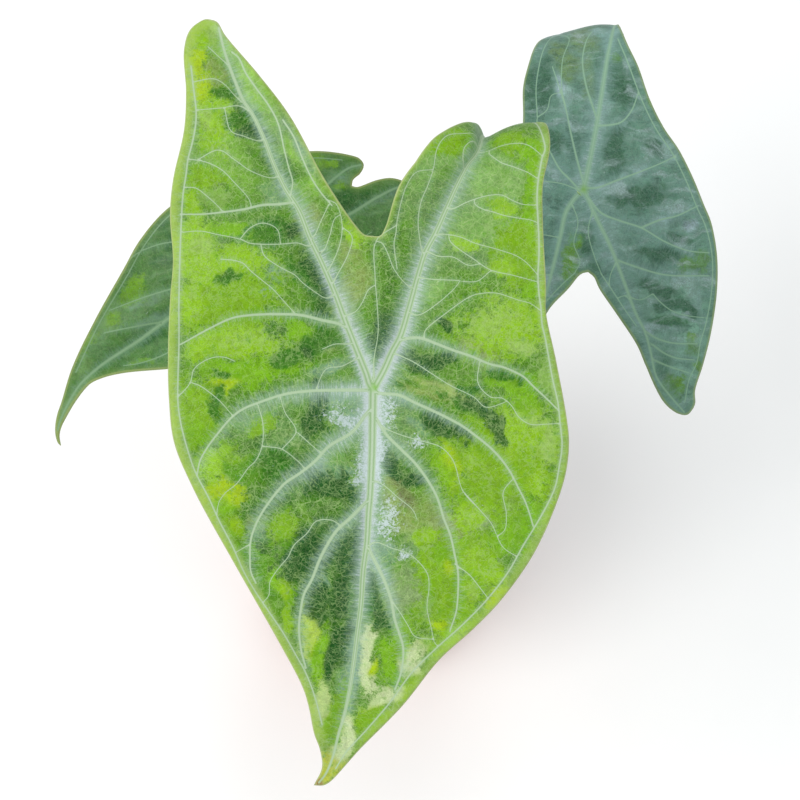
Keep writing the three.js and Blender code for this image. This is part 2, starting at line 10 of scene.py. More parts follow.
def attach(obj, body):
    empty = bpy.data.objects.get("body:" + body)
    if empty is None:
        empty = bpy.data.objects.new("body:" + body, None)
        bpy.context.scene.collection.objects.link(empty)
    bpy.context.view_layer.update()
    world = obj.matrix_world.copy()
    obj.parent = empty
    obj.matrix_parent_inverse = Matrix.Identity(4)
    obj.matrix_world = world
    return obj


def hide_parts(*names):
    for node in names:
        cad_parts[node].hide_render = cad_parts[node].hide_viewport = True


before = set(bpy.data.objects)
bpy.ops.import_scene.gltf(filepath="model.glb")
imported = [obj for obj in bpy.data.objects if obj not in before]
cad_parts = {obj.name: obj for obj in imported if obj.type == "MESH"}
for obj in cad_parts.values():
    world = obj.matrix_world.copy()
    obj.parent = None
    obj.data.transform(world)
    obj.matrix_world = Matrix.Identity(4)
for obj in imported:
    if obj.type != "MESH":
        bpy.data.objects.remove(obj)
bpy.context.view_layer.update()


# Pot: one piece of fired clay, thrown round and straight-sided, with a thick rim band and four drainage
# holes in its foot. It stands on its flat underside and holds the soil.

MM = 0.001
POT_HEIGHT = 105
POT_RIM_RADIUS = 60
POT_FOOT_RADIUS = 42
POT_WALL = 5
POT_BAND = 22
POT_BAND_STEP = 3
POT_EDGE_ROUNDING = 1.6
POT_SEGMENTS = 128
DRAIN_COUNT = 4
DRAIN_RADIUS = 4.5
DRAIN_CIRCLE = 23
DRAIN_DEPTH = 20
THROWING_SEED = 4


def wall_radius(height):
    return POT_FOOT_RADIUS + (POT_RIM_RADIUS - POT_BAND_STEP - POT_FOOT_RADIUS) * height / POT_HEIGHT


def rounded(profile, radius, steps=4):
    """The profile with its corners rounded by short arcs."""
    points = [profile[0]]
    for before, corner, after in zip(profile, profile[1:], profile[2:]):
        corner, ends = np.array(corner, float), []
        for other in (before, after):
            side = np.array(other, float) - corner
            length = np.hypot(*side)
            ends.append(corner + side / length * min(radius, length * 0.45))
        for step in range(steps + 1):
            t = step / steps
            points.append(tuple(ends[0] * (1 - t) ** 2 + corner * 2 * t * (1 - t) + ends[1] * t * t))
    return points + [profile[-1]]


def revolved(name, profile, segments, wobble):
    """A closed turned body from a profile of (radius, height) that starts and ends on the axis. The wobble
    gives how far a point lies out and up from its place on the true round."""
    rows = profile[1:-1]
    verts = [(0, 0, profile[0][1])]
    for r, z in rows:
        for k in range(segments):
            turn = 2 * math.pi * k / segments
            dr, dz = wobble(turn, r, z)
            verts.append(((r + dr) * math.cos(turn), (r + dr) * math.sin(turn), z + dz))
    verts.append((0, 0, profile[-1][1]))
    faces = []
    last = 1 + (len(rows) - 1) * segments
    for k in range(segments):
        nxt = (k + 1) % segments
        faces.append((0, 1 + nxt, 1 + k))
        for row in range(len(rows) - 1):
            a, b = 1 + row * segments, 1 + (row + 1) * segments
            faces.append((a + k, a + nxt, b + nxt, b + k))
        faces.append((len(verts) - 1, last + k, last + nxt))
    mesh = bpy.data.meshes.new(name)
    mesh.from_pydata([tuple(c * MM for c in v) for v in verts], [], faces)
    mesh.update()
    return mesh


def add_object(name, mesh):
    piece = bpy.data.objects.new(name, mesh)
    bpy.context.scene.collection.objects.link(piece)
    return piece


def shade_smooth(mesh, sharp_degrees):
    mesh.shade_smooth()
    mesh.set_sharp_from_angle(angle=math.radians(sharp_degrees))


def as_mesh(piece):
    """What a piece and its modifiers come to, as a plain mesh."""
    bpy.context.view_layer.update()
    evaluated = piece.evaluated_get(bpy.context.evaluated_depsgraph_get())
    return bpy.data.meshes.new_from_object(evaluated)


def bake(piece):
    mesh = as_mesh(piece)
    piece.modifiers.clear()
    piece.data = mesh


def seat(piece, slot, *nodes):
    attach(piece, "root")
    if nodes:
        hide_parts(*nodes)


class Shader:
    """Nodes of one material, added and linked in one call each."""

    def __init__(self, name):
        self.material = bpy.data.materials.new(name)
        self.material.use_nodes = True
        self.tree = self.material.node_tree
        self.surface = self.tree.nodes["Principled BSDF"]
        self.count = 0

    def put(self, socket, value):
        if isinstance(value, bpy.types.NodeSocket):
            self.tree.links.new(value, socket)
        elif socket.type == "RGBA":
            socket.default_value = (*value[:3], 1)
        else:
            socket.default_value = value

    def node(self, kind, inputs=(), **settings):
        node = self.tree.nodes.new(kind)
        self.count += 1
        node.location = (-300 - 190 * (self.count % 6), -170 * (self.count // 6))
        for key, value in settings.items():
            setattr(node, key, value)
        for key, value in dict(inputs).items():
            self.put(node.inputs[key], value)
        return node

    def place(self):
        return self.node("ShaderNodeTexCoord").outputs["Object"]

    def math(self, operation, a, b):
        return self.node("ShaderNodeMath", {0: a, 1: b}, operation=operation).outputs[0]

    def plus(self, a, b):
        return self.math("ADD", a, b)

    def times(self, a, b):
        return self.math("MULTIPLY", a, b)

    def blend(self, *parts):
        """The sum of fields, each given with its share."""
        total = self.times(*parts[0])
        for field, share in parts[1:]:
            total = self.plus(total, self.times(field, share))
        return total

    def moved(self, place, by):
        return self.node("ShaderNodeVectorMath", {0: place, 1: by}, operation="ADD").outputs[0]

    def scaled(self, place, by):
        return self.node("ShaderNodeVectorMath", {0: place, 3: by}, operation="SCALE").outputs[0]

    def mapped(self, place, scale, turn=0):
        inputs = {"Vector": place, "Scale": scale, "Rotation": (0, 0, turn)}
        return self.node("ShaderNodeMapping", inputs).outputs[0]

    def ramp(self, value, low, high, out_low=0.0, out_high=1.0):
        inputs = {"Value": value, "From Min": low, "From Max": high, "To Min": out_low, "To Max": out_high}
        return self.node("ShaderNodeMapRange", inputs, interpolation_type="SMOOTHSTEP").outputs[0]

    def mix(self, factor, a, b, blend="MIX"):
        node = self.node("ShaderNodeMix", data_type="RGBA", blend_type=blend)
        node.clamp_factor = True
        for index, value in ((0, factor), (6, a), (7, b)):
            self.put(node.inputs[index], value)
        return node.outputs[2]

    def noise(self, place, scale, detail, roughness):
        inputs = {"Vector": place, "Scale": scale, "Detail": detail, "Roughness": roughness}
        return self.node("ShaderNodeTexNoise", inputs).outputs["Fac"]

    def swirl(self, place, scale, detail):
        inputs = {"Vector": place, "Scale": scale, "Detail": detail}
        return self.node("ShaderNodeTexNoise", inputs).outputs["Color"]

    def cracks(self, place, scale):
        inputs = {"Vector": place, "Scale": scale}
        return self.node("ShaderNodeTexVoronoi", inputs, feature="DISTANCE_TO_EDGE").outputs["Distance"]

    def field(self, name, output="Fac"):
        return self.node("ShaderNodeAttribute", attribute_name=name).outputs[output]

    def bump(self, height, strength, distance):
        inputs = {"Height": height, "Strength": strength, "Distance": distance}
        return self.node("ShaderNodeBump", inputs).outputs[0]

    def finish(self, **values):
        for key, value in values.items():
            self.put(self.surface.inputs[key.replace("_", " ")], value)
        return self.material


def light_values(screen):
    """Screen colours, 0 to 255, as the light values that Blender mixes."""
    share = np.array(screen) / 255
    return np.where(share > 0.04, ((share + 0.055) / 1.055) ** 2.4, share / 12.92)


def color(red, green, blue):
    return tuple(float(value) for value in light_values((red, green, blue)))


def clay_material():
    """Matt fired clay: cloudy, grainy, ringed by the throwing, paler with salts above and damp below."""
    shader = Shader("fired_clay")
    place = shader.place()
    cloud = shader.noise(place, 22, 4, 0.6)
    grain = shader.noise(place, 900, 3, 0.7)
    thrown = shader.noise(shader.mapped(place, (6, 6, 420)), 1.0, 3, 0.6)
    base = shader.mix(shader.ramp(cloud, 0.35, 0.7), color(168, 104, 80), color(192, 130, 102))
    base = shader.mix(shader.ramp(grain, 0.52, 0.75, 0, 0.35), base, color(226, 178, 150))
    base = shader.mix(shader.ramp(grain, 0.45, 0.25, 0, 0.4), base, color(140, 78, 56))
    base = shader.mix(shader.ramp(thrown, 0.5, 0.75, 0, 0.25), base, color(160, 90, 66))
    height = shader.node("ShaderNodeSeparateXYZ", {0: place}).outputs["Z"]
    tide_line = shader.plus(shader.times(cloud, 0.05), height)
    salts = shader.times(shader.ramp(tide_line, 0.06, 0.115), shader.ramp(grain, 0.42, 0.62))
    base = shader.mix(shader.times(salts, 0.28), base, color(232, 214, 200))
    base = shader.mix(shader.ramp(tide_line, 0.055, 0.02, 0, 0.35), base, color(146, 80, 58))
    relief = shader.blend((thrown, 0.7), (grain, 0.5))
    return shader.finish(
        Base_Color=base,
        Roughness=shader.ramp(grain, 0.3, 0.7, 0.78, 0.95),
        Specular_IOR_Level=0.25,
        Normal=shader.bump(relief, 0.35, 0.0006),
    )


pot_band_foot = POT_HEIGHT - POT_BAND
pot_profile = rounded(
    [
        (0, 0),
        (POT_FOOT_RADIUS, 0),
        (wall_radius(pot_band_foot), pot_band_foot),
        (POT_RIM_RADIUS - 0.6, pot_band_foot + 0.4),
        (POT_RIM_RADIUS, POT_HEIGHT),
        (wall_radius(POT_HEIGHT) - POT_WALL, POT_HEIGHT),
        (wall_radius(POT_WALL) - POT_WALL, POT_WALL),
        (0, POT_WALL),
    ],
    POT_EDGE_ROUNDING,
)
throw_phase = np.random.default_rng(THROWING_SEED).uniform(0, 6.28, 2)


def thrown_wobble(turn, radius, height):
    """The pot's wall is a little out of round, and its foot is true."""
    if radius <= POT_FOOT_RADIUS - 8:
        return 0, 0
    slow = 0.12 * math.sin(2 * turn + throw_phase[0])
    return slow + 0.07 * math.sin(3 * turn + throw_phase[1] + height * 0.03), 0


def drain_cutter():
    """Upright pins, one for each drainage hole."""
    pins = bmesh.new()
    for k in range(DRAIN_COUNT):
        turn = (k + 0.5) / DRAIN_COUNT * 2 * math.pi
        radius = DRAIN_RADIUS * MM
        pin = bmesh.ops.create_cone(
            pins, cap_ends=True, segments=28, radius1=radius, radius2=radius, depth=DRAIN_DEPTH * MM
        )["verts"]
        offset = Vector((DRAIN_CIRCLE * math.cos(turn), DRAIN_CIRCLE * math.sin(turn), POT_WALL / 2)) * MM
        bmesh.ops.translate(pins, verts=pin, vec=offset)
    mesh = bpy.data.meshes.new("drains")
    pins.to_mesh(mesh)
    pins.free()
    return add_object("drain_cutter", mesh)


pot = add_object("clay_pot", revolved("clay_pot", pot_profile, POT_SEGMENTS, thrown_wobble))
cutter = drain_cutter()
cut = pot.modifiers.new("drains", "BOOLEAN")
cut.operation = "DIFFERENCE"
cut.solver = "EXACT"
cut.object = cutter
bake(pot)
bpy.data.objects.remove(cutter)
shade_smooth(pot.data, 35)
pot.data.materials.clear()
pot.data.materials.append(clay_material())
seat(pot, "clay", "pot")


# Soil: the potting mix that fills the pot, a dark peat and bark blend with pale grit, loose on top and
# mounded a little round the rhizome. Crumbs, bark chips and grit grains lie on it.

SOIL_TOP = 92
SOIL_MOUND = 1.9
SOIL_EDGE_DROP = 1.2
SOIL_ROWS = 40
SOIL_SEGMENTS = 180
RHIZOME_RADIUS = 14.5
RHIZOME_FOOT = 62
FIT = 0.35


def soil_material(name, dark, light, roughness):
    """Crumbly stuff: clods in two tones, with pale and dark grains."""
    shader = Shader(name)
    place = shader.place()
    clods = shader.noise(place, 160, 4, 0.65)
    grain = shader.noise(place, 1400, 3, 0.7)
    base = shader.mix(shader.ramp(clods, 0.38, 0.62), dark, light)
    base = shader.mix(shader.ramp(grain, 0.55, 0.72, 0, 0.5), base, [min(1, c * 2.2) for c in light])
    base = shader.mix(shader.ramp(grain, 0.45, 0.3, 0, 0.7), base, [c * 0.45 for c in dark])
    relief = shader.plus(shader.times(clods, 0.6), grain)
    return shader.finish(
        Base_Color=base, Roughness=roughness, Specular_IOR_Level=0.2, Normal=shader.bump(relief, 0.6, 0.0008)
    )


def inner_radius(height):
    """The radius of the soil at a height, just clear of the pot's wall."""
    return wall_radius(height) - POT_WALL - FIT


soil_bottom = POT_WALL + FIT
soil_edge = inner_radius(SOIL_TOP)
soil_hole = RHIZOME_RADIUS + FIT
soil_profile = [(0, soil_bottom)]
soil_profile += [(r, soil_bottom) for r in (10, 22, 32, inner_radius(soil_bottom))]
soil_profile += [(inner_radius(z), z) for z in (30, 60, 86, 89.5)]
for step in range(SOIL_ROWS + 1):
    radius = soil_edge + (soil_hole - soil_edge) * step / SOIL_ROWS
    inward = 1 - radius / soil_edge
    height = SOIL_TOP - SOIL_EDGE_DROP * max(0, 1 - inward * 12) + SOIL_MOUND * inward
    soil_profile.append((radius - (0.5 if step == 0 else 0), height))
soil_profile += [(soil_hole, RHIZOME_FOOT - FIT), (0, RHIZOME_FOOT - FIT)]


def soil_wobble(turn, radius, height):
    """Clods and crumbs lift the open top, less at the pot's wall and at the rhizome."""
    if height < SOIL_TOP - 2 or radius < 1:
        return 0, 0
    spot = Vector((radius * math.cos(turn), radius * math.sin(turn), 7.0))
    rise = 1.1 * noise.fractal(spot * 0.16, 0.8, 2.1, 4) + 0.5 * noise.fractal(spot * 0.55, 0.8, 2.1, 3)
    settle = min(1, (soil_edge - radius) / 2 + 0.25) * min(1, (radius - soil_hole) / 1.5 + 0.2)
    return 0, rise * settle


soil = add_object("potting_mix", revolved("potting_mix", soil_profile, SOIL_SEGMENTS, soil_wobble))
shade_smooth(soil.data, 70)
soil_look = soil_material("potting_mix", color(38, 27, 20), color(72, 52, 38), 0.95)
soil.data.materials.append(soil_look)
seat(soil, "soil", "soil")


def geometry_tree(name, inputs):
    """A geometry node tree with named inputs, and each input's identifier."""
    tree = bpy.data.node_groups.new(name, "GeometryNodeTree")
    given = {
        label: tree.interface.new_socket(label, in_out="INPUT", socket_type="NodeSocket" + kind).identifier
        for label, kind in inputs.items()
    }
    tree.interface.new_socket("Geometry", in_out="OUTPUT", socket_type="NodeSocketGeometry")
    return tree, given


def run_tree(piece, tree, sockets, values):
    """Puts the tree on the piece, with its inputs set."""
    modifier = piece.modifiers.new(tree.name, "NODES")
    modifier.node_group = tree
    for label, value in values.items():
        modifier[sockets[label]] = value


def scatter_tree():
    """Stamps a bit on random points of the open top of the soil, each turned and sized at random."""
    tree, sockets = geometry_tree("soil_scatter", {
        "Geometry": "Geometry", "Bit": "Object", "Density": "Float", "Seed": "Int", "Smallest": "Float",
        "Largest": "Float", "Look": "Material",
    })
    add, link = tree.nodes.new, tree.links.new
    given = add("NodeGroupInput")
    result = add("NodeGroupOutput")
    normal = add("GeometryNodeInputNormal")
    slope = add("ShaderNodeSeparateXYZ")
    facing_up = add("FunctionNodeCompare")
    spot = add("GeometryNodeInputPosition")
    height = add("ShaderNodeSeparateXYZ")
    high_up = add("FunctionNodeCompare")
    on_top = add("FunctionNodeBooleanMath")
    spread = add("GeometryNodeDistributePointsOnFaces")
    bit = add("GeometryNodeObjectInfo")
    turn = add("FunctionNodeRandomValue")
    size = add("FunctionNodeRandomValue")
    stamp = add("GeometryNodeInstanceOnPoints")
    real = add("GeometryNodeRealizeInstances")
    paint = add("GeometryNodeSetMaterial")
    turn.data_type = "FLOAT_VECTOR"
    turn.inputs["Max"].default_value = (0.5, 0.5, 6.28)
    facing_up.operation = high_up.operation = "GREATER_THAN"
    facing_up.inputs[1].default_value = 0.6
    high_up.inputs[1].default_value = (SOIL_TOP - 2.2) * MM
    link(normal.outputs[0], slope.inputs[0])
    link(slope.outputs["Z"], facing_up.inputs[0])
    link(spot.outputs[0], height.inputs[0])
    link(height.outputs["Z"], high_up.inputs[0])
    link(facing_up.outputs[0], on_top.inputs[0])
    link(high_up.outputs[0], on_top.inputs[1])
    link(on_top.outputs[0], spread.inputs["Selection"])
    link(given.outputs["Geometry"], spread.inputs["Mesh"])
    link(given.outputs["Density"], spread.inputs["Density"])
    for seeded in (spread, turn, size):
        link(given.outputs["Seed"], seeded.inputs["Seed"])
    link(given.outputs["Smallest"], size.inputs[2])
    link(given.outputs["Largest"], size.inputs[3])
    link(given.outputs["Bit"], bit.inputs["Object"])
    link(spread.outputs["Points"], stamp.inputs["Points"])
    link(bit.outputs["Geometry"], stamp.inputs["Instance"])
    link(turn.outputs[0], stamp.inputs["Rotation"])
    link(size.outputs[1], stamp.inputs["Scale"])
    link(stamp.outputs["Instances"], real.inputs[0])
    link(real.outputs[0], paint.inputs["Geometry"])
    link(given.outputs["Look"], paint.inputs["Material"])
    link(paint.outputs[0], result.inputs[0])
    return tree, sockets


def lump(name, shape, seed):
    """One uneven pebble of about 1 m, of the given proportions, to be stamped much smaller."""
    blob = bmesh.new()
    bmesh.ops.create_icosphere(blob, subdivisions=2, radius=1)
    for vert in blob.verts:
        vert.co *= 1 + 0.35 * noise.noise(vert.co * 1.7 + Vector((seed, 0, 0)))
        vert.co = Vector((vert.co.x * shape[0], vert.co.y * shape[1], vert.co.z * shape[2]))
    mesh = bpy.data.meshes.new(name)
    blob.to_mesh(mesh)
    blob.free()
    return add_object(name, mesh)


scatter_group, scatter_sockets = scatter_tree()


def scatter(name, shape, density, seed, smallest, largest, look):
    """Small bits strewn on the soil, as one plain mesh."""
    bit = lump(name + "_bit", shape, seed)
    piece = add_object(name, soil.data.copy())
    run_tree(piece, scatter_group, scatter_sockets, {
        "Bit": bit, "Density": density, "Seed": seed, "Smallest": smallest * MM, "Largest": largest * MM,
        "Look": look,
    })
    bake(piece)
    bpy.data.objects.remove(bit)
    shade_smooth(piece.data, 40)
    seat(piece, "soil")


bark_look = soil_material("bark_chips", color(70, 45, 28), color(120, 82, 52), 0.85)
grit_look = soil_material("pale_grit", color(176, 168, 152), color(222, 216, 204), 0.8)
scatter("soil_crumbs", (1, 1, 0.8), 150000, 3, 0.35, 1.25, soil_look)
scatter("bark_chips", (2.2, 1.2, 0.42), 9000, 8, 0.8, 1.9, bark_look)
scatter("grit_grains", (1, 0.9, 0.8), 7000, 5, 0.5, 1.1, grit_look)


# Rhizome: the short upright stem that the petioles grow from, mostly buried. Its dry brown skin is ringed
# with the scars of old leaves and frayed into papery fibres.

RHIZOME_TOP = 112
RING_HEIGHTS = (92.7, 95.2, 98.8, 101.4, 105.3, 108.2)
RHIZOME_ROWS = 62
RHIZOME_SEGMENTS = 96


def bark_material():
    """Dry brown skin with upright fibres, darker in the ring scars."""
    shader = Shader("rhizome_skin")
    place = shader.place()
    cloud = shader.noise(place, 90, 4, 0.6)
    fibres = shader.noise(shader.mapped(place, (900, 900, 90)), 1, 4, 0.6)
    base = shader.mix(shader.ramp(cloud, 0.35, 0.65), color(104, 78, 48), color(150, 122, 82))
    base = shader.mix(shader.ramp(fibres, 0.5, 0.72, 0, 0.6), base, color(186, 162, 120))
    base = shader.mix(shader.ramp(fibres, 0.45, 0.3, 0, 0.6), base, color(66, 46, 28))
    base = shader.mix(shader.times(shader.field("scar"), 0.6), base, color(72, 50, 30))
    relief = shader.plus(fibres, shader.times(cloud, 0.5))
    return shader.finish(
        Base_Color=base, Roughness=0.85, Specular_IOR_Level=0.25, Normal=shader.bump(relief, 0.5, 0.0007)
    )


def near_ring(height, above, width):
    return max(math.exp(-(((height - ring - above) / width) ** 2)) for ring in RING_HEIGHTS)


def ring_slant(turn, height):
    """How far a ring lies above its middle height on each side, fading out at the soil and the top."""
    share = max(0, min(1, (height - 90) / 3, (RHIZOME_TOP - 1 - height) / 4))
    return share * (0.7 * math.sin(turn + height * 0.4) + 0.2 * math.sin(3 * turn + height * 0.8))


def narrowing(height):
    return 0.035 * max(0, height - SOIL_TOP) ** 1.3


rhizome_profile = [
    (0, RHIZOME_FOOT), (RHIZOME_RADIUS - 2, RHIZOME_FOOT), (RHIZOME_RADIUS - 0.3, RHIZOME_FOOT + 4),
]
for step in range(RHIZOME_ROWS):
    height = 88 + step * 0.36
    ridge = near_ring(height, 0, 0.55)
    rhizome_profile.append((RHIZOME_RADIUS - 0.9 - narrowing(height) + 0.75 * ridge, height))
rhizome_profile += [
    (RHIZOME_RADIUS - 3.2, RHIZOME_TOP - 0.7), (RHIZOME_RADIUS - 4.6, RHIZOME_TOP - 0.1),
    (RHIZOME_RADIUS - 8, RHIZOME_TOP - 0.4), (2, RHIZOME_TOP - 1.4), (0, RHIZOME_TOP - 1.6),
]


def rhizome_wobble(turn, radius, height):
    """Dents in the skin, and rings that slant a little."""
    spot = Vector((2.2 * math.cos(turn), 2.2 * math.sin(turn), height * 0.12))
    dent = 0.55 * noise.fractal(spot, 0.9, 2.0, 3)
    return (min(0.2, dent) if radius > 3 else 0), ring_slant(turn, height)


rhizome_mesh = revolved("rhizome_stub", rhizome_profile, RHIZOME_SEGMENTS, rhizome_wobble)
rhizome = add_object("rhizome_stub", rhizome_mesh)
scars = rhizome_mesh.attributes.new("scar", "FLOAT", "POINT")
for scar, spot in zip(scars.data, rhizome_mesh.vertices):
    x, y, z = spot.co / MM
    scar.value = near_ring(z - ring_slant(math.atan2(y, x), z), 1.1, 0.5)
shade_smooth(rhizome_mesh, 60)
rhizome_mesh.materials.append(bark_material())
seat(rhizome, "rhizome_bark", "rhizome")


# Front leaf: the big blade that faces the eye, tip down, grown in one with its petiole. It is thin and
# waxy, marbled lime on dark green, with pale ribs in silver halos, and its right lobe rolls back.

# The blades are drawn in the view from above the plant's front, in thirds of a millimetre, x to the right
# and y down, and carried along the sight lines to their depth.

EYE_ELEVATION = math.radians(60)
EYE_DISTANCE = 1111
VIEW_UNIT = 1 / 3
VIEW_CENTRE = 400
FRONT_JUNCTION = (374, 387)
FRONT_PLACE = np.array((4, -115, 380))
view_right = np.array((1, 0, 0))
view_up = np.array((0, math.sin(EYE_ELEVATION), math.cos(EYE_ELEVATION)))
view_near = np.array((0, -math.cos(EYE_ELEVATION), math.sin(EYE_ELEVATION)))
view_aim = (
    FRONT_PLACE
    + view_right * (VIEW_CENTRE - FRONT_JUNCTION[0]) * VIEW_UNIT
    + view_up * (FRONT_JUNCTION[1] - VIEW_CENTRE) * VIEW_UNIT
)


def spline(points, spacing):
    """A centripetal Catmull-Rom curve through the points, as evenly spaced points."""
    points = np.array(points, float)
    ends = [2 * points[0] - points[1], *points, 2 * points[-1] - points[-2]]
    fine = []
    for p0, p1, p2, p3 in zip(ends, ends[1:], ends[2:], ends[3:]):
        d0, d1, d2 = (max(np.linalg.norm(b - a), 1e-6) ** 0.5 for a, b in ((p0, p1), (p1, p2), (p2, p3)))
        m1 = ((p1 - p0) / d0 - (p2 - p0) / (d0 + d1) + (p2 - p1) / d1) * d1
        m2 = ((p2 - p1) / d1 - (p3 - p1) / (d1 + d2) + (p3 - p2) / d2) * d1
        t = np.linspace(0, 1, 25)[:-1, None]
        fine.append(p1 + m1 * t + (3 * (p2 - p1) - 2 * m1 - m2) * t**2 + (m1 + m2 - 2 * (p2 - p1)) * t**3)
    fine = np.vstack([*fine, points[-1:]])
    run = np.concatenate([[0], np.cumsum(np.linalg.norm(np.diff(fine, axis=0), axis=1))])
    stops = np.linspace(0, run[-1], max(2, round(run[-1] / spacing) + 1))
    return np.stack([np.interp(stops, run, fine[:, k]) for k in range(fine.shape[1])], 1)


def from_line(x, y, line, reach=1e9):
    """Distance in mm from a drawn line, share of the way along it, and side (1 to its right)."""
    line = np.array(line, float)
    near = np.full(x.shape, float(reach))
    along = np.zeros(x.shape)
    side = np.ones(x.shape)
    pad = reach / VIEW_UNIT
    close = np.flatnonzero(
        (x > line[:, 0].min() - pad) & (x < line[:, 0].max() + pad)
        & (y > line[:, 1].min() - pad) & (y < line[:, 1].max() + pad)
    )
    px, py = x[close], y[close]
    best, share, turn = near[close], along[close], side[close]
    run = np.concatenate([[0], np.cumsum(np.linalg.norm(np.diff(line, axis=0), axis=1))])
    for k, ((ax, ay), (bx, by)) in enumerate(zip(line, line[1:])):
        dx, dy = bx - ax, by - ay
        t = np.clip(((px - ax) * dx + (py - ay) * dy) / (dx * dx + dy * dy), 0, 1)
        ox, oy = px - ax - t * dx, py - ay - t * dy
        distance = np.hypot(ox, oy) * VIEW_UNIT
        closer = distance < best
        best = np.where(closer, distance, best)
        share = np.where(closer, (run[k] + t * (run[k + 1] - run[k])) / run[-1], share)
        turn = np.where(closer, np.sign(dx * oy - dy * ox), turn)
    near[close], along[close], side[close] = best, share, turn
    return near, along, side


def nearest(x, y, lines, reach=1e9):
    return np.min([from_line(x, y, line, reach)[0] for line in lines], axis=0)


def smooth(value, low, high):
    t = np.clip((value - low) / (high - low), 0, 1)
    return t * t * (3 - 2 * t)


def across_at(line, y):
    """Where a line that always climbs crosses a drawn height."""
    line = np.array(line, float)
    order = np.argsort(line[:, 1])
    return np.interp(y, line[order, 1], line[order, 0])


def placed(x, y, depth):
    spread = (1 - depth / EYE_DISTANCE) * VIEW_UNIT
    right, up = (x - VIEW_CENTRE) * spread, (VIEW_CENTRE - y) * spread
    return view_aim + right[:, None] * view_right + up[:, None] * view_up + depth[:, None] * view_near


QUILT_DEPTH = 1.3
QUILT_WIDTH = 5


def rolled(roll, x, y, depth_at):
    """Where drawn points go when the blade's far end curls over a line: their places in the view, their
    depth, and how far round they have turned."""
    slope, radius, (away_x, away_y) = roll["slope"], roll["radius"], roll["away"]
    past = (x - roll["line"][0]) * away_x + (y - roll["line"][1]) * away_y
    past = np.where(x >= roll["right_of"], np.maximum(past, 0), 0)
    turned = np.minimum(past / radius, roll["turn"])
    straight, end = past - turned * radius, slope + turned
    reach = radius * (np.sin(end) - math.sin(slope)) + straight * np.cos(end)
    drop = radius * (math.cos(slope) - np.cos(end)) + straight * np.sin(end)
    start_x, start_y = x - past * away_x, y - past * away_y
    depth = depth_at(start_x, start_y) - drop * VIEW_UNIT
    return start_x + reach * away_x, start_y + reach * away_y, depth, turned


def blade_points(leaf, x, y):
    """The blade's middle surface at drawn points: its depth, its relief, and the roll of its far end."""
    away_x, away_y = (0, -1)
    out_x, out_y, depth, turned = x, y, leaf["depth"](x, y), np.zeros(x.shape)
    if "roll" in leaf:
        away_x, away_y = leaf["roll"]["away"]
        out_x, out_y, depth, turned = rolled(leaf["roll"], x, y, leaf["depth"])
    to_rib = nearest(x, y, leaf["ribs"] + leaf["side_ribs"], 20)
    raised = leaf["relief"](x, y) - QUILT_DEPTH * np.exp(-((to_rib / QUILT_WIDTH) ** 2))
    shift = raised * np.sin(turned) / VIEW_UNIT
    return placed(out_x + shift * away_x, out_y + shift * away_y, depth + raised * np.cos(turned))


def vein(points, half_width, halo, glow, hold=1):
    """A vein: its drawn points, half width at both ends, halo width to its right and left, halo strength at
    both ends, and how long the halo keeps its strength (1 for an even fall, more for a late one)."""
    return {"points": points, "half_width": half_width, "halo": halo, "glow": glow, "hold": hold}


VEINLET_REACH = 28
VEINLET_JOINED = 3
VEINLET_TURN = 0.55


def led_on(lines, others):
    """Thin veins with their free ends led on to the nearest vein ahead, as veinlets close into loops."""
    rails = [spline(one["points"], 4) for one in others]
    own = [spline(line, 4) for line in lines]
    closed = []
    for number, line in enumerate(lines):
        line = list(line)
        for end, before in ((0, 1), (-1, -2)):
            ahead = np.subtract(line[end], line[before])
            gaps = np.vstack(rails + own[:number] + own[number + 1 :]) - line[end]
            far = np.hypot(*gaps.T)
            near = (far < VEINLET_REACH) & (gaps @ ahead > VEINLET_TURN * far * np.hypot(*ahead))
            if far.min() > VEINLET_JOINED and near.any():
                landing = tuple(gaps[np.argmin(np.where(near, far, 1e9))] + line[end])
                line.insert(0 if end == 0 else len(line), landing)
        closed.append(line)
    return closed


def half_width_at(one, along):
    return one["half_width"][0] + (one["half_width"][1] - one["half_width"][0]) * along


def trimmed(drawn, stouter):
    """A vein's drawn points, cut off where they would run on into the body of a stouter vein."""
    for other in stouter:
        distance, along, _ = from_line(*drawn.T, other["drawn"], 8)
        clear = distance - 0.85 * half_width_at(other, along)
        outside = np.flatnonzero(clear > 0)
        if len(outside) < 3 or len(outside) == len(drawn):
            continue
        first, last = outside[0], outside[-1]
        cut = [*drawn[first : last + 1]]
        if first > 0:
            share = clear[first] / (clear[first] - clear[first - 1])
            cut.insert(0, drawn[first] + (drawn[first - 1] - drawn[first]) * share)
        if last < len(drawn) - 1:
            share = clear[last] / (clear[last] - clear[last + 1])
            cut.append(drawn[last] + (drawn[last + 1] - drawn[last]) * share)
        drawn = np.array(cut)
    return drawn


HALO_REACH = 16
HALO_NARROWING = 0.45


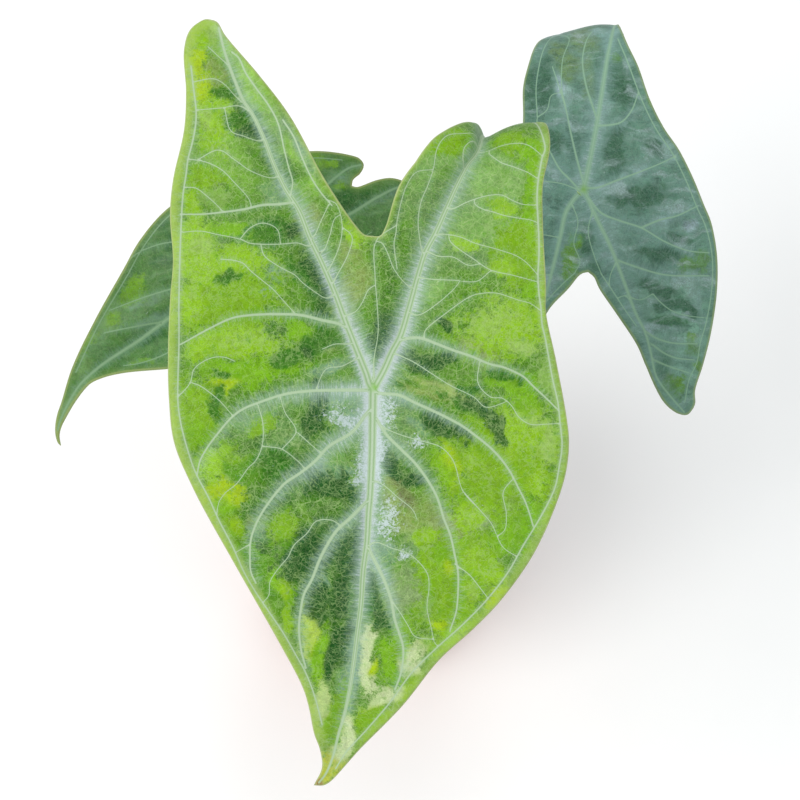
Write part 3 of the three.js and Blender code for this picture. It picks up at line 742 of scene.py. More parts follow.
def vein_fields(x, y, veins):
    """For each point: how far it lies from the veins, in vein half widths, how strongly their halos cover it,
    its place in the haloing vein's own frame, as the run along it and the distance out, in mm, and the half
    width of the nearest vein."""
    line, halo, stout = np.full(x.shape, 9.0), np.zeros(x.shape), np.zeros(x.shape)
    comb = np.zeros((len(x), 3))
    for number, one in enumerate(veins):
        distance, along, side = from_line(x, y, one["drawn"], HALO_REACH)
        half = half_width_at(one, along)
        stout = np.where(distance / half < line, half, stout)
        line = np.minimum(line, distance / half)
        width = np.where(side > 0, one["halo"][0], one["halo"][1]) * (1 - HALO_NARROWING * along)
        glow = one["glow"][0] + (one["glow"][1] - one["glow"][0]) * along ** one["hold"]
        own = glow * np.exp(-((np.maximum(0, distance - half) / width) ** 2))
        length = np.linalg.norm(np.diff(one["drawn"], axis=0), axis=1).sum() * VIEW_UNIT
        stronger = own > halo
        halo = np.where(stronger, own, halo)
        own_frame = np.stack([along * length, side * distance, np.full(len(x), number * 7.0)], 1)
        comb[stronger] = own_frame[stronger]
    return line, halo, comb, stout


SWIRL_SEED = 3
SWIRLS = ((11.0, 34.0), (5.0, 12.0))
noise.seed_set(SWIRL_SEED)


def drifted(x, y):
    """The drawn points moved about by slow and quick swirls, so that no patch keeps a plain oval outline."""
    for reach, wave in SWIRLS:
        drift = np.array([noise.noise_vector(Vector((px / wave, py / wave, wave))) for px, py in zip(x, y)])
        x, y = x + reach * drift[:, 0], y + reach * drift[:, 1]
    return x, y


PATCH_PULL = 5


def blended(x, y, patches, base):
    """The patches' colours at drawn points, each nearest its own patch, and how far inside a patch each point
    lies: a half on a patch's edge, more within."""
    shade, weight = np.array(base) * np.full((len(x), 1), 1e-5), np.full(len(x), 1e-5)
    cover = np.zeros(len(x))
    for tint, ovals in patches:
        for cx, cy, rx, ry, tilt in ovals:
            c, s = math.cos(math.radians(tilt)), math.sin(math.radians(tilt))
            u, v = (x - cx) * c + (y - cy) * s, (y - cy) * c - (x - cx) * s
            out = np.hypot(u / rx, v / ry)
            pull = np.exp(-PATCH_PULL * out**2)
            shade += pull[:, None] * np.array(tint)
            weight += pull
            cover = np.maximum(cover, 1.5 - out)
    return shade / weight[:, None], cover


CORNER_REACH = 9
CORNER_ROUNDS = 6
NET_ROW = 0.87
NET_JITTER = 0.22
NET_CLEARANCE = 0.62
NET_MERGE = 0.4
BESIDE_GRID = 1.1
BESIDE_LEAST = 1.5


def eased_outline(leaf):
    """The blade's drawn outline, evenly spaced, with its rounded corners eased."""
    outline = np.vstack([spline(part, leaf["spacing"] * 0.9)[:-1] for part in leaf["outline"]])
    for corner in leaf["rounded"]:
        close = np.hypot(*(outline - corner).T) < CORNER_REACH
        for _ in range(CORNER_ROUNDS):
            eased = (np.roll(outline, 1, 0) + outline * 2 + np.roll(outline, -1, 0)) / 4
            outline = np.where(close[:, None], eased, outline)
    return outline


def vein_points(leaf, outline):
    """The outline's points, each vein's own points and a row on either side of it, and the edges that run
    along the veins. Each vein keeps its points as drawn."""
    points, edges = [*outline], []
    for number, one in enumerate(leaf["veins"]):
        stouter = [other for other in leaf["veins"][:number] if other["half_width"][0] > one["half_width"][0]]
        one["drawn"] = trimmed(spline(one["points"], leaf["spacing"]), stouter)
        edges += [(len(points) + k, len(points) + k + 1) for k in range(len(one["drawn"]) - 1)]
        points += [*one["drawn"]]
    crowded = {tuple(spot) for spot in np.round(np.array(points) / BESIDE_GRID).astype(int)}
    for one in leaf["veins"]:
        heading = np.gradient(one["drawn"], axis=0)
        heading /= np.linalg.norm(heading, axis=1)[:, None] + 1e-9
        sideways = np.stack([-heading[:, 1], heading[:, 0]], 1)
        half = half_width_at(one, np.linspace(0, 1, len(heading))[:, None]) / VIEW_UNIT
        aside = sideways * np.maximum(half * 1.05, BESIDE_LEAST)
        for spot in [*(one["drawn"] + aside), *(one["drawn"] - aside)]:
            key = tuple(np.round(spot / BESIDE_GRID).astype(int))
            if key not in crowded:
                crowded.add(key)
                points.append(spot)
    return points, edges


def filling_points(leaf, outline, points):
    """A loose grid of points over the blade, clear of those that are there."""
    spacing = leaf["spacing"]
    taken = kdtree.KDTree(len(points))
    for k, (x, y) in enumerate(points):
        taken.insert((x, y, 0), k)
    taken.balance()
    draw = np.random.default_rng(leaf["seed"])
    low, high = outline.min(0), outline.max(0)
    filling = []
    for row in range(int((high[1] - low[1]) / (spacing * NET_ROW)) + 1):
        for column in range(int((high[0] - low[0]) / spacing) + 1):
            spot = low + ((column + 0.5 * (row % 2)) * spacing, row * spacing * NET_ROW)
            spot = spot + draw.uniform(-NET_JITTER, NET_JITTER, 2) * spacing
            if taken.find((*spot, 0))[2] > spacing * NET_CLEARANCE:
                filling.append(spot)
    return filling


def blade_net(leaf, outline):
    """Drawn places and triangles of a fine net inside the outline."""
    points, edges = vein_points(leaf, outline)
    points += filling_points(leaf, outline, points)
    flat = [Vector((x, -y)) for x, y in points]
    loop = list(range(len(outline)))
    turn = sum(a.x * b.y - a.y * b.x for a, b in zip(flat[: len(loop)], flat[1 : len(loop)] + flat[:1]))
    if turn < 0:
        loop.reverse()
    split = delaunay_2d_cdt(flat, edges, [loop], 1, NET_MERGE)
    used, triangles = np.unique(np.array(split[2]), return_inverse=True)
    x, y = np.array([(split[0][k].x, -split[0][k].y) for k in used]).T
    return x, y, triangles.reshape(-1, 3)


EDGE_HALF = 0.16
FLESH_HALF = 0.26
VEIN_SINK = 0.3
VEIN_CREST = 0.16
KEEL_WIDTH = 2.1


def blade_skins(leaf, x, y, triangles, line, rim):
    """The points of the upper and the lower skin: thin at the edge, sunk along the veins above, and keeled
    along the main ribs below."""
    middle = blade_points(leaf, x, y)
    corner = middle[triangles]
    facing = np.cross(corner[:, 1] - corner[:, 0], corner[:, 2] - corner[:, 0])
    normal = np.zeros_like(middle)
    for k in range(3):
        np.add.at(normal, triangles[:, k], facing)
    normal /= np.linalg.norm(normal, axis=1)[:, None]

    main = [from_line(x, y, one["drawn"], 12) for one in leaf["veins"][:3]]
    to_main = np.min([distance for distance, _, _ in main], axis=0)
    run = np.clip(np.min([along + (distance > 3) for distance, along, _ in main], axis=0), 0, 1)
    keel = leaf["keel"] * (1 - run) ** 0.7 * np.sqrt(np.clip(1 - (to_main / KEEL_WIDTH) ** 2, 0, 1))
    pillow = VEIN_CREST * np.exp(-(line**2)) - VEIN_SINK * np.exp(-((line / 4) ** 2))
    pillow *= smooth(rim, 0, 2)
    half = EDGE_HALF + FLESH_HALF * smooth(rim, 0, 1.1)
    return middle + normal * (half + pillow)[:, None], middle - normal * (half + keel - 0.6 * pillow)[:, None]


def closed_shell(name, top, under, triangles, looks):
    """The blade's mesh: its two skins and the strip round its edge that joins them."""
    count = len(top)
    sides = np.vstack([triangles[:, [0, 1]], triangles[:, [1, 2]], triangles[:, [2, 0]]])
    _, index, times = np.unique(np.sort(sides, axis=1), axis=0, return_index=True, return_counts=True)
    a, b = sides[index[times == 1]].T
    strip = np.vstack([np.stack([b, a, a + count], 1), np.stack([b, a + count, b + count], 1)])
    faces = np.vstack([triangles, triangles[:, ::-1] + count, strip])
    mesh = bpy.data.meshes.new(name)
    mesh.vertices.add(2 * count)
    mesh.vertices.foreach_set("co", (np.vstack([top, under]) * MM).astype(np.float32).ravel())
    mesh.loops.add(faces.size)
    mesh.loops.foreach_set("vertex_index", faces.astype(np.int32).ravel())
    mesh.polygons.add(len(faces))
    mesh.polygons.foreach_set("loop_start", np.arange(0, faces.size, 3, dtype=np.int32))
    for look in looks:
        mesh.materials.append(look)
    skin = np.zeros(len(faces), np.int32)
    skin[len(triangles) : 2 * len(triangles)] = 1
    mesh.polygons.foreach_set("material_index", skin)
    mesh.update(calc_edges=True)
    mesh.validate()
    mesh.shade_smooth()
    return mesh, faces


KNOT_RADIUS = 3.6


def blade_mesh(name, leaf, looks):
    """A closed thin blade, split finely inside its outline with edges along every vein, and painted at each
    point with the fields that its materials read."""
    outline = eased_outline(leaf)
    x, y, triangles = blade_net(leaf, outline)
    line, halo, comb, stout = vein_fields(x, y, leaf["veins"])
    rim = from_line(x, y, np.vstack([outline, outline[:1]]), 14)[0]
    top, under = blade_skins(leaf, x, y, triangles, line, rim)
    mesh, faces = closed_shell(name, top, under, triangles, looks)

    base, drift = leaf["base"], drifted(x, y)
    shade, cover = blended(*drift, leaf["soft_patches"], base)
    cover = smooth(cover, 0.05, 0.95)[:, None]
    lime, lime_cover = blended(*drift, leaf["lime_patches"], base)
    deep, deep_cover = blended(*drift, leaf["deep_patches"], base)
    to_junction = np.hypot(x - leaf["junction"][0], y - leaf["junction"][1])
    knot = np.exp(-((to_junction / KNOT_RADIUS) ** 2))
    fields = {
        "vein": line, "halo": halo, "rim": rim, "painted_glint": leaf["painted_glint"](*drift), "lime": lime_cover,
        "deep": deep_cover, "band": leaf["band"](x, y, rim), "stout": stout, "knot": knot,
    }
    for label, values in fields.items():
        layer = mesh.attributes.new(label, "FLOAT", "POINT")
        layer.data.foreach_set("value", np.tile(values, 2).astype(np.float32))
    ground = np.array(base) * (1 - cover) + shade * cover
    for label, tone in {"ground_tone": ground, "lime_tone": lime, "deep_tone": deep}.items():
        layer = mesh.attributes.new(label, "FLOAT_COLOR", "POINT")
        rgba = np.hstack([light_values(tone), np.ones((len(x), 1))])
        layer.data.foreach_set("color", np.tile(rgba, (2, 1)).astype(np.float32).ravel())
    layer = mesh.attributes.new("comb", "FLOAT_VECTOR", "POINT")
    layer.data.foreach_set("vector", np.tile(comb, (2, 1)).astype(np.float32).ravel())
    plane = mesh.uv_layers.new(name="plane")
    flat = np.tile(np.stack([x, -y], 1) * VIEW_UNIT / 100, (2, 1))
    plane.data.foreach_set("uv", flat[faces.ravel()].astype(np.float32).ravel())
    return mesh


def skin_fields(shader):
    """The places and the noise that all layers of a blade's skin share."""
    plane = shader.node("ShaderNodeUVMap", uv_map="plane").outputs[0]
    wander = shader.swirl(plane, 40, 3)
    place = shader.moved(plane, shader.scaled(shader.moved(wander, (-0.5, -0.5, -0.5)), 0.022))
    cells = shader.node("ShaderNodeTexVoronoi", {"Vector": place, "Scale": 30}).outputs["Color"]
    return {
        "plane": plane, "wander": wander, "place": place,
        "cloud": shader.noise(plane, 13, 4, 0.6),
        "patchy": shader.noise(place, 42, 5, 0.68),
        "patchy deep": shader.noise(shader.moved(place, (7.3, 2.9, 0)), 36, 5, 0.66),
        "speck": shader.noise(plane, 190, 4, 0.72),
        "grain": shader.noise(plane, 620, 2, 0.6),
        "luck": shader.node("ShaderNodeSeparateColor", {0: cells}).outputs[0],
        "coarse": shader.ramp(shader.cracks(place, 30), 0.042, 0.012),
        "fine": shader.ramp(shader.cracks(place, 84), 0.1, 0.02),
    }


def ragged(shader, at, cover, patchy, push):
    """How far a point lies inside a patch whose edge is broken up by noise at several scales."""
    edge = shader.blend((patchy, 2.3), (at["speck"], 1.1), (at["luck"], 0.3), (at["cloud"], 1.2))
    return shader.ramp(shader.math("SUBTRACT", shader.plus(edge, cover), 2.45 + push), 0.15, 0.85)


def marbled(shader, at, tint, lime, deep):
    """The ground, the lime patches on it, green flecks and the deep patches, one over the other."""
    base = shader.field("ground_tone", "Color")
    base = shader.mix(shader.ramp(at["cloud"], 0.42, 0.62, 0, tint["cloudy"]), base, color(*tint["cloud"]))
    base = shader.mix(lime, base, shader.field("lime_tone", "Color"))
    flecked = shader.ramp(shader.blend((at["speck"], 0.6), (at["patchy"], 0.4)), 0.5, 0.62)
    base = shader.mix(shader.times(flecked, 0.4), base, color(*tint["fleck"]))
    return shader.mix(shader.times(deep, 0.92), base, shader.field("deep_tone", "Color"))


def streaked(shader, at, tint, base):
    """Long pale and dark wisps, strongest on the silvered blade."""
    sweep = shader.scaled(shader.swirl(at["plane"], 7, 2), 0.16)
    wisps = shader.noise(shader.mapped(shader.moved(at["place"], sweep), (8, 22, 1), 0.25), 1, 6, 0.64)
    base = shader.mix(shader.ramp(wisps, 0.5, 0.7, 0, tint["streaky"]), base, color(*tint["hair"]))
    return shader.mix(shader.ramp(wisps, 0.48, 0.34, 0, tint["streaky"]), base, color(*tint["fleck"]))


def mottled(shader, at, base):
    mottle = shader.ramp(shader.blend((at["speck"], 0.6), (at["patchy deep"], 0.4)), 0.36, 0.64, 0.66, 1.34)
    grey = shader.node("ShaderNodeCombineXYZ", {0: mottle, 1: mottle, 2: mottle}).outputs[0]
    return shader.mix(1.0, base, grey, "MULTIPLY")


def netted(shader, at, tint, base, lime, deep, strength):
    """The finest veins: loose polygons, fainter in the patches, and rungs that cross from vein to vein."""
    lines = shader.blend((at["coarse"], 0.56), (at["fine"], 0.3))
    lines = shader.times(lines, shader.ramp(at["patchy deep"], 0.4, 0.6, 0.6, 1.0))
    for patch in (deep, lime):
        lines = shader.times(lines, shader.ramp(patch, 0, 1, 1.0, 0.6))
    rungs = shader.moved(shader.field("comb", "Vector"), shader.scaled(at["wander"], 3.0))
    ladder = shader.ramp(shader.cracks(shader.mapped(rungs, (0.5, 0.11, 1)), 1.0), 0.06, 0.015)
    lines = shader.math("MAXIMUM", lines, shader.times(ladder, 0.42))
    return shader.mix(shader.times(lines, strength), base, color(*tint["net"]))


def halo_haze(shader, at, strength):
    """The silver haze about the veins, combed into hairs that point away from them."""
    hairs = shader.noise(shader.mapped(shader.field("comb", "Vector"), (2.0, 0.2, 1)), 1.0, 3, 0.6)
    haze = shader.math("POWER", shader.field("halo"), shader.ramp(hairs, 0.32, 0.68, 2.2, 0.7))
    haze = shader.times(haze, shader.ramp(at["speck"], 0.3, 0.65, 0.8, 1.0))
    return shader.times(haze, strength)


def glinted(shader, at, base, strength):
    """Painted highlight: granular white glints of reflected light, laid over the top skin and strongest
    beside the midrib.
    """
    blotch = shader.noise(at["place"], 105, 3, 0.62)
    glitter = shader.blend(
        (shader.field("painted_glint"), 0.36), (at["speck"], 0.6), (blotch, 0.8), (at["grain"], 0.2),
        (at["patchy"], 0.5),
    )
    return shader.mix(shader.times(shader.ramp(glitter, 1.22, 1.46), strength), base, color(222, 236, 238))


def veined(shader, tint, base):
    """The veins: a pale body, a darker furrow beside a paler crest, and the knot where they meet."""
    across = shader.field("vein")
    body = shader.ramp(across, 1.2 + tint["blur"], 0.8 - tint["blur"])
    base = shader.mix(shader.times(body, 0.88), base, color(*tint["ribs"]))
    furrow = shader.times(shader.ramp(across, 0.2, 0.42), shader.ramp(across, 0.8, 0.55))
    furrow = shader.times(furrow, shader.ramp(shader.field("stout"), 0.5, 0.9, 0, tint["groove"]))
    base = shader.mix(furrow, base, color(*tint["furrow"]))
    base = shader.mix(shader.times(shader.ramp(across, 0.24, 0.08), 0.4), base, color(*tint["crest"]))
    return shader.mix(shader.times(shader.field("knot"), 0.9), base, color(*tint["knot"]))


LEAF_VALUE = 0.66
UNDER_DULLING = 0.6


def leaf_material(name, tint, side, dull=None):
    """The skin of a blade: variegated patches with ragged edges, fine specks, a faint net of veinlets, combed
    silver halos, the ribs and a pale margin. The underside is dulled towards one plain green."""
    shader = Shader(name)
    at = skin_fields(shader)
    lime = ragged(shader, at, shader.field("lime"), at["patchy"], 0.05)
    deep = ragged(shader, at, shader.field("deep"), at["patchy deep"], -0.12)
    base = marbled(shader, at, tint, lime, deep)
    if tint["streaky"]:
        base = streaked(shader, at, tint, base)
    base = mottled(shader, at, base)
    if dull:
        base = shader.mix(UNDER_DULLING, base, color(*dull))
    band = shader.times(shader.field("band"), shader.ramp(at["patchy"], 0.3, 0.6, 0.75, 1.0))
    base = shader.mix(band, base, color(*tint["band"]))
    base = netted(shader, at, tint, base, lime, deep, side["net"])
    haze = halo_haze(shader, at, side["halo"])
    silver = shader.mix(shader.ramp(haze, 0.5, 0.8), color(*tint["halo"]), color(*tint["hair"]))
    base = shader.mix(haze, base, silver)
    # painted highlight: white glints of reflected light on the top skin, strongest beside the midrib
    base = glinted(shader, at, base, side["painted_glint"])
    base = veined(shader, tint, base)
    rim = shader.plus(shader.field("rim"), shader.times(at["cloud"], 0.3))
    rim = shader.ramp(rim, tint["edge"], tint["edge"] / 2)
    base = shader.mix(shader.times(rim, 0.75), base, color(*tint["rim"]))
    vivid = {"Saturation": tint["vivid"], "Value": LEAF_VALUE, "Color": base}
    base = shader.node("ShaderNodeHueSaturation", vivid).outputs["Color"]

    relief = shader.times(shader.plus(at["coarse"], shader.times(at["fine"], 0.5)), side["relief"])
    relief = shader.plus(shader.plus(relief, shader.times(at["speck"], 0.5)), shader.times(at["grain"], 0.2))
    gloss = shader.ramp(at["speck"], 0.3, 0.7, side["wax"] - 0.05, side["wax"] + 0.1)
    return shader.finish(
        Base_Color=base,
        Roughness=shader.plus(gloss, shader.times(haze, 0.12)),
        Specular_IOR_Level=0.22,
        Normal=shader.bump(relief, 0.3, 0.0003),
    )


PETIOLE_SIDES = 28
PETIOLE_RIDGES = 7
PETIOLE_RIDGE_DEPTH = 0.018
PETIOLE_CIRCLE = 5.8
PETIOLE_FOOT = 100.3
PETIOLE_FOOT_RADIUS = 4.6
PETIOLE_TAPER = 2.0


def stalk(name, path, radius):
    """A round, faintly ridged stalk along a path of points in mm, closed at both ends, with its turn and run
    as its UV map."""
    sides = PETIOLE_SIDES
    path = np.array(path)
    along = np.gradient(path, axis=0)
    along /= np.linalg.norm(along, axis=1)[:, None]
    across = np.cross(along[0], (1, 0, 0))
    verts, faces, uvs = [], [], []
    run = np.concatenate([[0], np.cumsum(np.linalg.norm(np.diff(path, axis=0), axis=1))])
    for k, (spot, ahead) in enumerate(zip(path, along)):
        across = across - ahead * np.dot(across, ahead)
        across /= np.linalg.norm(across)
        other = np.cross(ahead, across)
        for j in range(sides):
            turn = 2 * math.pi * j / sides
            r = radius[k] * (1 + PETIOLE_RIDGE_DEPTH * math.cos(turn * PETIOLE_RIDGES))
            verts.append(spot + (across * math.cos(turn) + other * math.sin(turn)) * r)
    rings = len(path)
    for k in range(rings - 1):
        for j in range(sides):
            nxt = (j + 1) % sides
            faces.append((k * sides + j, k * sides + nxt, (k + 1) * sides + nxt, (k + 1) * sides + j))
            for ring, step in ((k, j), (k, j + 1), (k + 1, j + 1), (k + 1, j)):
                uvs.append((step / sides, run[ring] / 100))
    for ring, order in ((0, -1), (rings - 1, 1)):
        faces.append([ring * sides + j for j in range(sides)][::order])
        uvs += [(0.5, run[ring] / 100)] * sides
    mesh = bpy.data.meshes.new(name)
    mesh.from_pydata([tuple(v * MM) for v in verts], [], faces)
    layer = mesh.uv_layers.new(name="plane")
    layer.data.foreach_set("uv", np.array(uvs, np.float32).ravel())
    mesh.update()
    shade_smooth(mesh, 50)
    return mesh


def petiole_material(name, pale, green, fleck):
    """The smooth skin of a stalk or rib: drawn-out streaks, cloudy flecks, paler towards the foot."""
    shader = Shader(name)
    place = shader.place()
    plane = shader.node("ShaderNodeUVMap", uv_map="plane").outputs[0]
    run = shader.node("ShaderNodeSeparateXYZ", {0: plane}).outputs["Y"]
    streak = shader.noise(shader.mapped(place, (500, 500, 24)), 1, 4, 0.6)
    cloud = shader.noise(place, 55, 3, 0.6)
    grain = shader.noise(place, 1500, 2, 0.6)
    base = shader.mix(shader.ramp(streak, 0.38, 0.64), color(*green), color(*pale))
    base = shader.mix(shader.ramp(cloud, 0.55, 0.72, 0, 0.5), base, color(*fleck))
    base = shader.mix(shader.ramp(run, 0.35, 0.0, 0, 0.7), base, color(214, 214, 176))
    return shader.finish(
        Base_Color=base,
        Roughness=shader.ramp(cloud, 0.3, 0.7, 0.36, 0.5),
        Specular_IOR_Level=0.45,
        Normal=shader.bump(shader.blend((streak, 0.8), (grain, 0.3)), 0.3, 0.0005),
    )


def facing_at(leaf, x, y):
    """Which way the blade's top faces at drawn points."""
    right, left = (blade_points(leaf, x + step, y) for step in (2, -2))
    high, low = (blade_points(leaf, x, y + step) for step in (-2, 2))
    facing = np.cross(right - left, high - low)
    return facing / np.linalg.norm(facing, axis=1)[:, None]


def petiole_mesh(name, leaf):
    """The leaf's stalk, from its socket in the rhizome to the underside of the blade, wider at both ends."""
    x, y = (np.array([value], float) for value in leaf["junction"])
    end = blade_points(leaf, x, y)[0] - facing_at(leaf, x, y)[0] * 0.9
    turn = math.radians(leaf["petiole_turn"])
    foot = (PETIOLE_CIRCLE * math.cos(turn), PETIOLE_CIRCLE * math.sin(turn), PETIOLE_FOOT)
    path = spline([foot, *leaf["petiole"], end], 2.4)
    share = np.linspace(0, 1, len(path))
    radius = PETIOLE_FOOT_RADIUS - PETIOLE_TAPER * share**0.8
    radius += 0.5 * np.exp(-(((1 - share) / 0.03) ** 2)) + 0.25 * np.exp(-((share / 0.06) ** 2))
    return stalk(name, path, radius)


LEAST_RIB = 0.3
RIB_SIDES = 10


def rib_curves(name, leaf):
    """The veins as curves along the blade's underside, each point with the rib's radius there."""
    curves = bpy.data.curves.new(name, "CURVE")
    curves.dimensions = "3D"
    for one in leaf["veins"]:
        if one["half_width"][0] < LEAST_RIB:
            continue
        drawn = spline(one["points"], 6)
        x, y = drawn[: max(3, int(len(drawn) * 0.96))].T
        share = np.linspace(0, 1, len(x))
        radius = (0.8 * half_width_at(one, share) + 0.12) * np.sqrt(np.clip((1 - share) / 0.15, 0.1, 1))
        spots = blade_points(leaf, x, y) - facing_at(leaf, x, y) * (0.2 + 0.95 * radius)[:, None]
        strand = curves.splines.new("POLY")
        strand.points.add(len(x) - 1)
        for point, spot, r in zip(strand.points, spots, radius):
            point.co = (*(spot * MM), 1)
            point.radius = r
    return curves


def rib_tree():
    """Sweeps a round section along curves, scaled by each point's radius."""
    tree, sockets = geometry_tree(
        "leaf_ribs", {"Geometry": "Geometry", "Unit": "Float", "Sides": "Int", "Look": "Material"}
    )
    add, link = tree.nodes.new, tree.links.new
    given = add("NodeGroupInput")
    result = add("NodeGroupOutput")
    ring = add("GeometryNodeCurvePrimitiveCircle")
    radius = add("GeometryNodeInputRadius")
    sweep = add("GeometryNodeCurveToMesh")
    soft = add("GeometryNodeSetShadeSmooth")
    real = add("GeometryNodeRealizeInstances")
    paint = add("GeometryNodeSetMaterial")
    sweep.inputs["Fill Caps"].default_value = True
    link(given.outputs["Sides"], ring.inputs["Resolution"])
    link(given.outputs["Unit"], ring.inputs["Radius"])
    link(given.outputs["Geometry"], sweep.inputs["Curve"])
    link(ring.outputs["Curve"], sweep.inputs["Profile Curve"])
    link(radius.outputs[0], sweep.inputs["Scale"])
    link(sweep.outputs[0], soft.inputs["Geometry"])
    link(soft.outputs[0], real.inputs[0])
    link(real.outputs[0], paint.inputs["Geometry"])
    link(given.outputs["Look"], paint.inputs["Material"])
    link(paint.outputs[0], result.inputs[0])
    return tree, sockets


rib_group, rib_sockets = rib_tree()


def rib_piece(name, leaf, look):
    curves = add_object(name + "_lines", rib_curves(name + "_lines", leaf))
    run_tree(curves, rib_group, rib_sockets, {"Unit": MM, "Sides": RIB_SIDES, "Look": look})
    mesh = as_mesh(curves)
    bpy.data.objects.remove(curves)
    return add_object(name, mesh)


def leaf_pieces(name, leaf, slot, node, looks, petiole_look):
    """The blade, which stands for the leaf's node, its petiole, and the ribs on its underside."""
    seat(add_object(name + "_blade", blade_mesh(name + "_blade", leaf, looks)), slot, node)
    petiole = petiole_mesh(name + "_petiole", leaf)
    petiole.materials.append(petiole_look)
    seat(add_object(name + "_petiole", petiole), slot)
    seat(rib_piece(name + "_ribs", leaf, looks[2]), slot)


front_margins = {
    "left": [
        (314, 785), (322, 768), (320, 750), (314, 733), (309, 708), (303, 688), (280, 644), (234, 563),
        (192, 486), (174, 442), (169, 400), (168, 355), (170, 300), (173, 260), (170, 215), (173, 180),
        (184, 130), (186, 92), (184, 50), (190, 30), (205, 18),
    ],
    "sinus left": [
        (205, 18), (217, 22), (225, 35), (259, 75), (290, 116), (325, 180), (356, 226), (365, 235),
        (372, 236),
    ],
    "sinus right": [
        (372, 236), (380, 236), (385, 228), (400, 184), (430, 146), (446, 132), (460, 118), (475, 96),
        (486, 60), (496, 25), (508, 8),
    ],
    "right": [
        (508, 8), (522, 25), (535, 60), (544, 100), (549, 130), (550, 150), (543, 184), (543, 225),
        (546, 287), (546, 312), (556, 360), (567, 420), (569, 442), (566, 472), (554, 510), (533, 555),
        (501, 600), (472, 630), (439, 660), (403, 705), (359, 750), (344, 767), (332, 780), (324, 785),
        (314, 785),
    ],
}
front_cad_ribs = [
    [(374, 387), (372, 440), (369, 500), (366, 550), (361, 604), (356, 641), (350, 684), (342, 721),
     (332, 757), (322, 778), (314, 785)],
    [(374, 387), (356, 348), (335, 293), (310, 238), (285, 188), (265, 141), (235, 81), (221, 36), (205, 18)],
    [(374, 387), (400, 337), (409, 308), (425, 253), (447, 207), (465, 169), (475, 151), (480, 133),
     (484, 105), (494, 55), (508, 8)],
]
front_cad_side_ribs = [
    [(374, 389), (337, 390), (307, 391), (280, 395), (243, 409), (219, 432), (200, 461), (197, 476)],
    [(349, 330), (322, 320), (280, 314), (232, 318), (212, 327), (180, 344)],
    [(290, 202), (245, 209), (202, 214), (179, 214)],
    [(372, 408), (352, 432), (315, 461), (285, 483), (263, 511), (251, 539), (251, 572), (258, 590)],
    [(368, 500), (337, 530), (319, 561), (304, 594), (299, 628), (305, 668)],
    [(400, 340), (421, 338), (453, 350), (503, 367), (524, 377), (558, 410)],
    [(374, 389), (399, 395), (439, 413), (475, 435), (502, 460), (525, 501), (533, 527)],
    [(374, 412), (387, 435), (415, 463), (437, 497), (450, 534), (458, 572), (456, 612), (449, 632)],
    [(433, 238), (444, 234), (475, 243), (517, 256), (539, 275)],
]


def front_depth(x, y):
    up = (FRONT_JUNCTION[1] - y) * VIEW_UNIT
    return 0.27 * up - 0.0032 * np.maximum(0, -50 - up) ** 2 - 0.0022 * np.maximum(0, up - 60) ** 2


def front_relief(x, y):
    midrib, left, right = front_cad_ribs
    up = (FRONT_JUNCTION[1] - y) * VIEW_UNIT
    from_left, from_right = nearest(x, y, [left]), nearest(x, y, [right])
    from_rib = np.minimum(np.minimum(from_left, from_right), nearest(x, y, [midrib]))
    trough = 0.16 * from_rib * np.exp(-from_rib / 28) * (1 - 0.6 * smooth(up, 66, 92))
    ripple = 1.5 * smooth(from_rib, 18, 50) * np.sin(0.042 * y + np.where(x < FRONT_JUNCTION[0], 0.8, 2.6))
    inside_right = x < across_at(right, y)
    inner_left = np.where(x > across_at(left, y), from_left, 0)
    inner_right = np.where(inside_right, from_right, 0)
    nearer = np.where(from_left < from_right, 0.5 * inner_left, 0.3 * inner_right)
    cupped = nearer * smooth(up, 48, 75) * (1 - 0.95 * smooth(up, 68, 94))
    groove = 4.2 * smooth(up, 66, 82) * np.exp(-((from_right / np.where(inside_right, 1.3, 9.5)) ** 2))
    return trough + ripple + cupped - groove


COLLECTIVE = ((0.3, 0.24), (1.0, 1.0), (0.35, 0.3))
TERTIARY = ((0.17, 0.12), (1.1, 1.1), (0.3, 0.2))

front_veins = [
    vein([(373, 390), (372.5, 423), (372, 453), (370, 497), (368.6, 513), (367, 541), (363, 572), (361, 604),
          (357, 636), (354, 660), (350.5, 684), (346.5, 705), (342.5, 721), (339, 732), (333, 756),
          (326, 773), (319, 782)], (1.6, 0.36), (4.0, 4.0), (1.0, 0.0), 2),
    vein([(374, 390), (370, 385), (366, 373), (356, 348), (345, 320), (335, 293), (322, 263), (310, 238),
          (299, 210), (285, 188), (274, 165), (265, 141), (254, 117), (243, 100), (235, 81), (229, 65),
          (223, 46), (219, 28)], (1.38, 0.42), (4.6, 2.4), (0.95, 0.5)),
    vein([(374, 388), (384, 370), (392, 352), (400, 337), (409, 308), (418, 275), (425, 253), (435, 234),
          (447, 207), (456, 187), (465, 169), (474, 153), (480, 134), (484, 105), (494, 55), (506, 14)],
         (1.38, 0.42), (4.2, 3.8), (0.95, 0.5)),
]
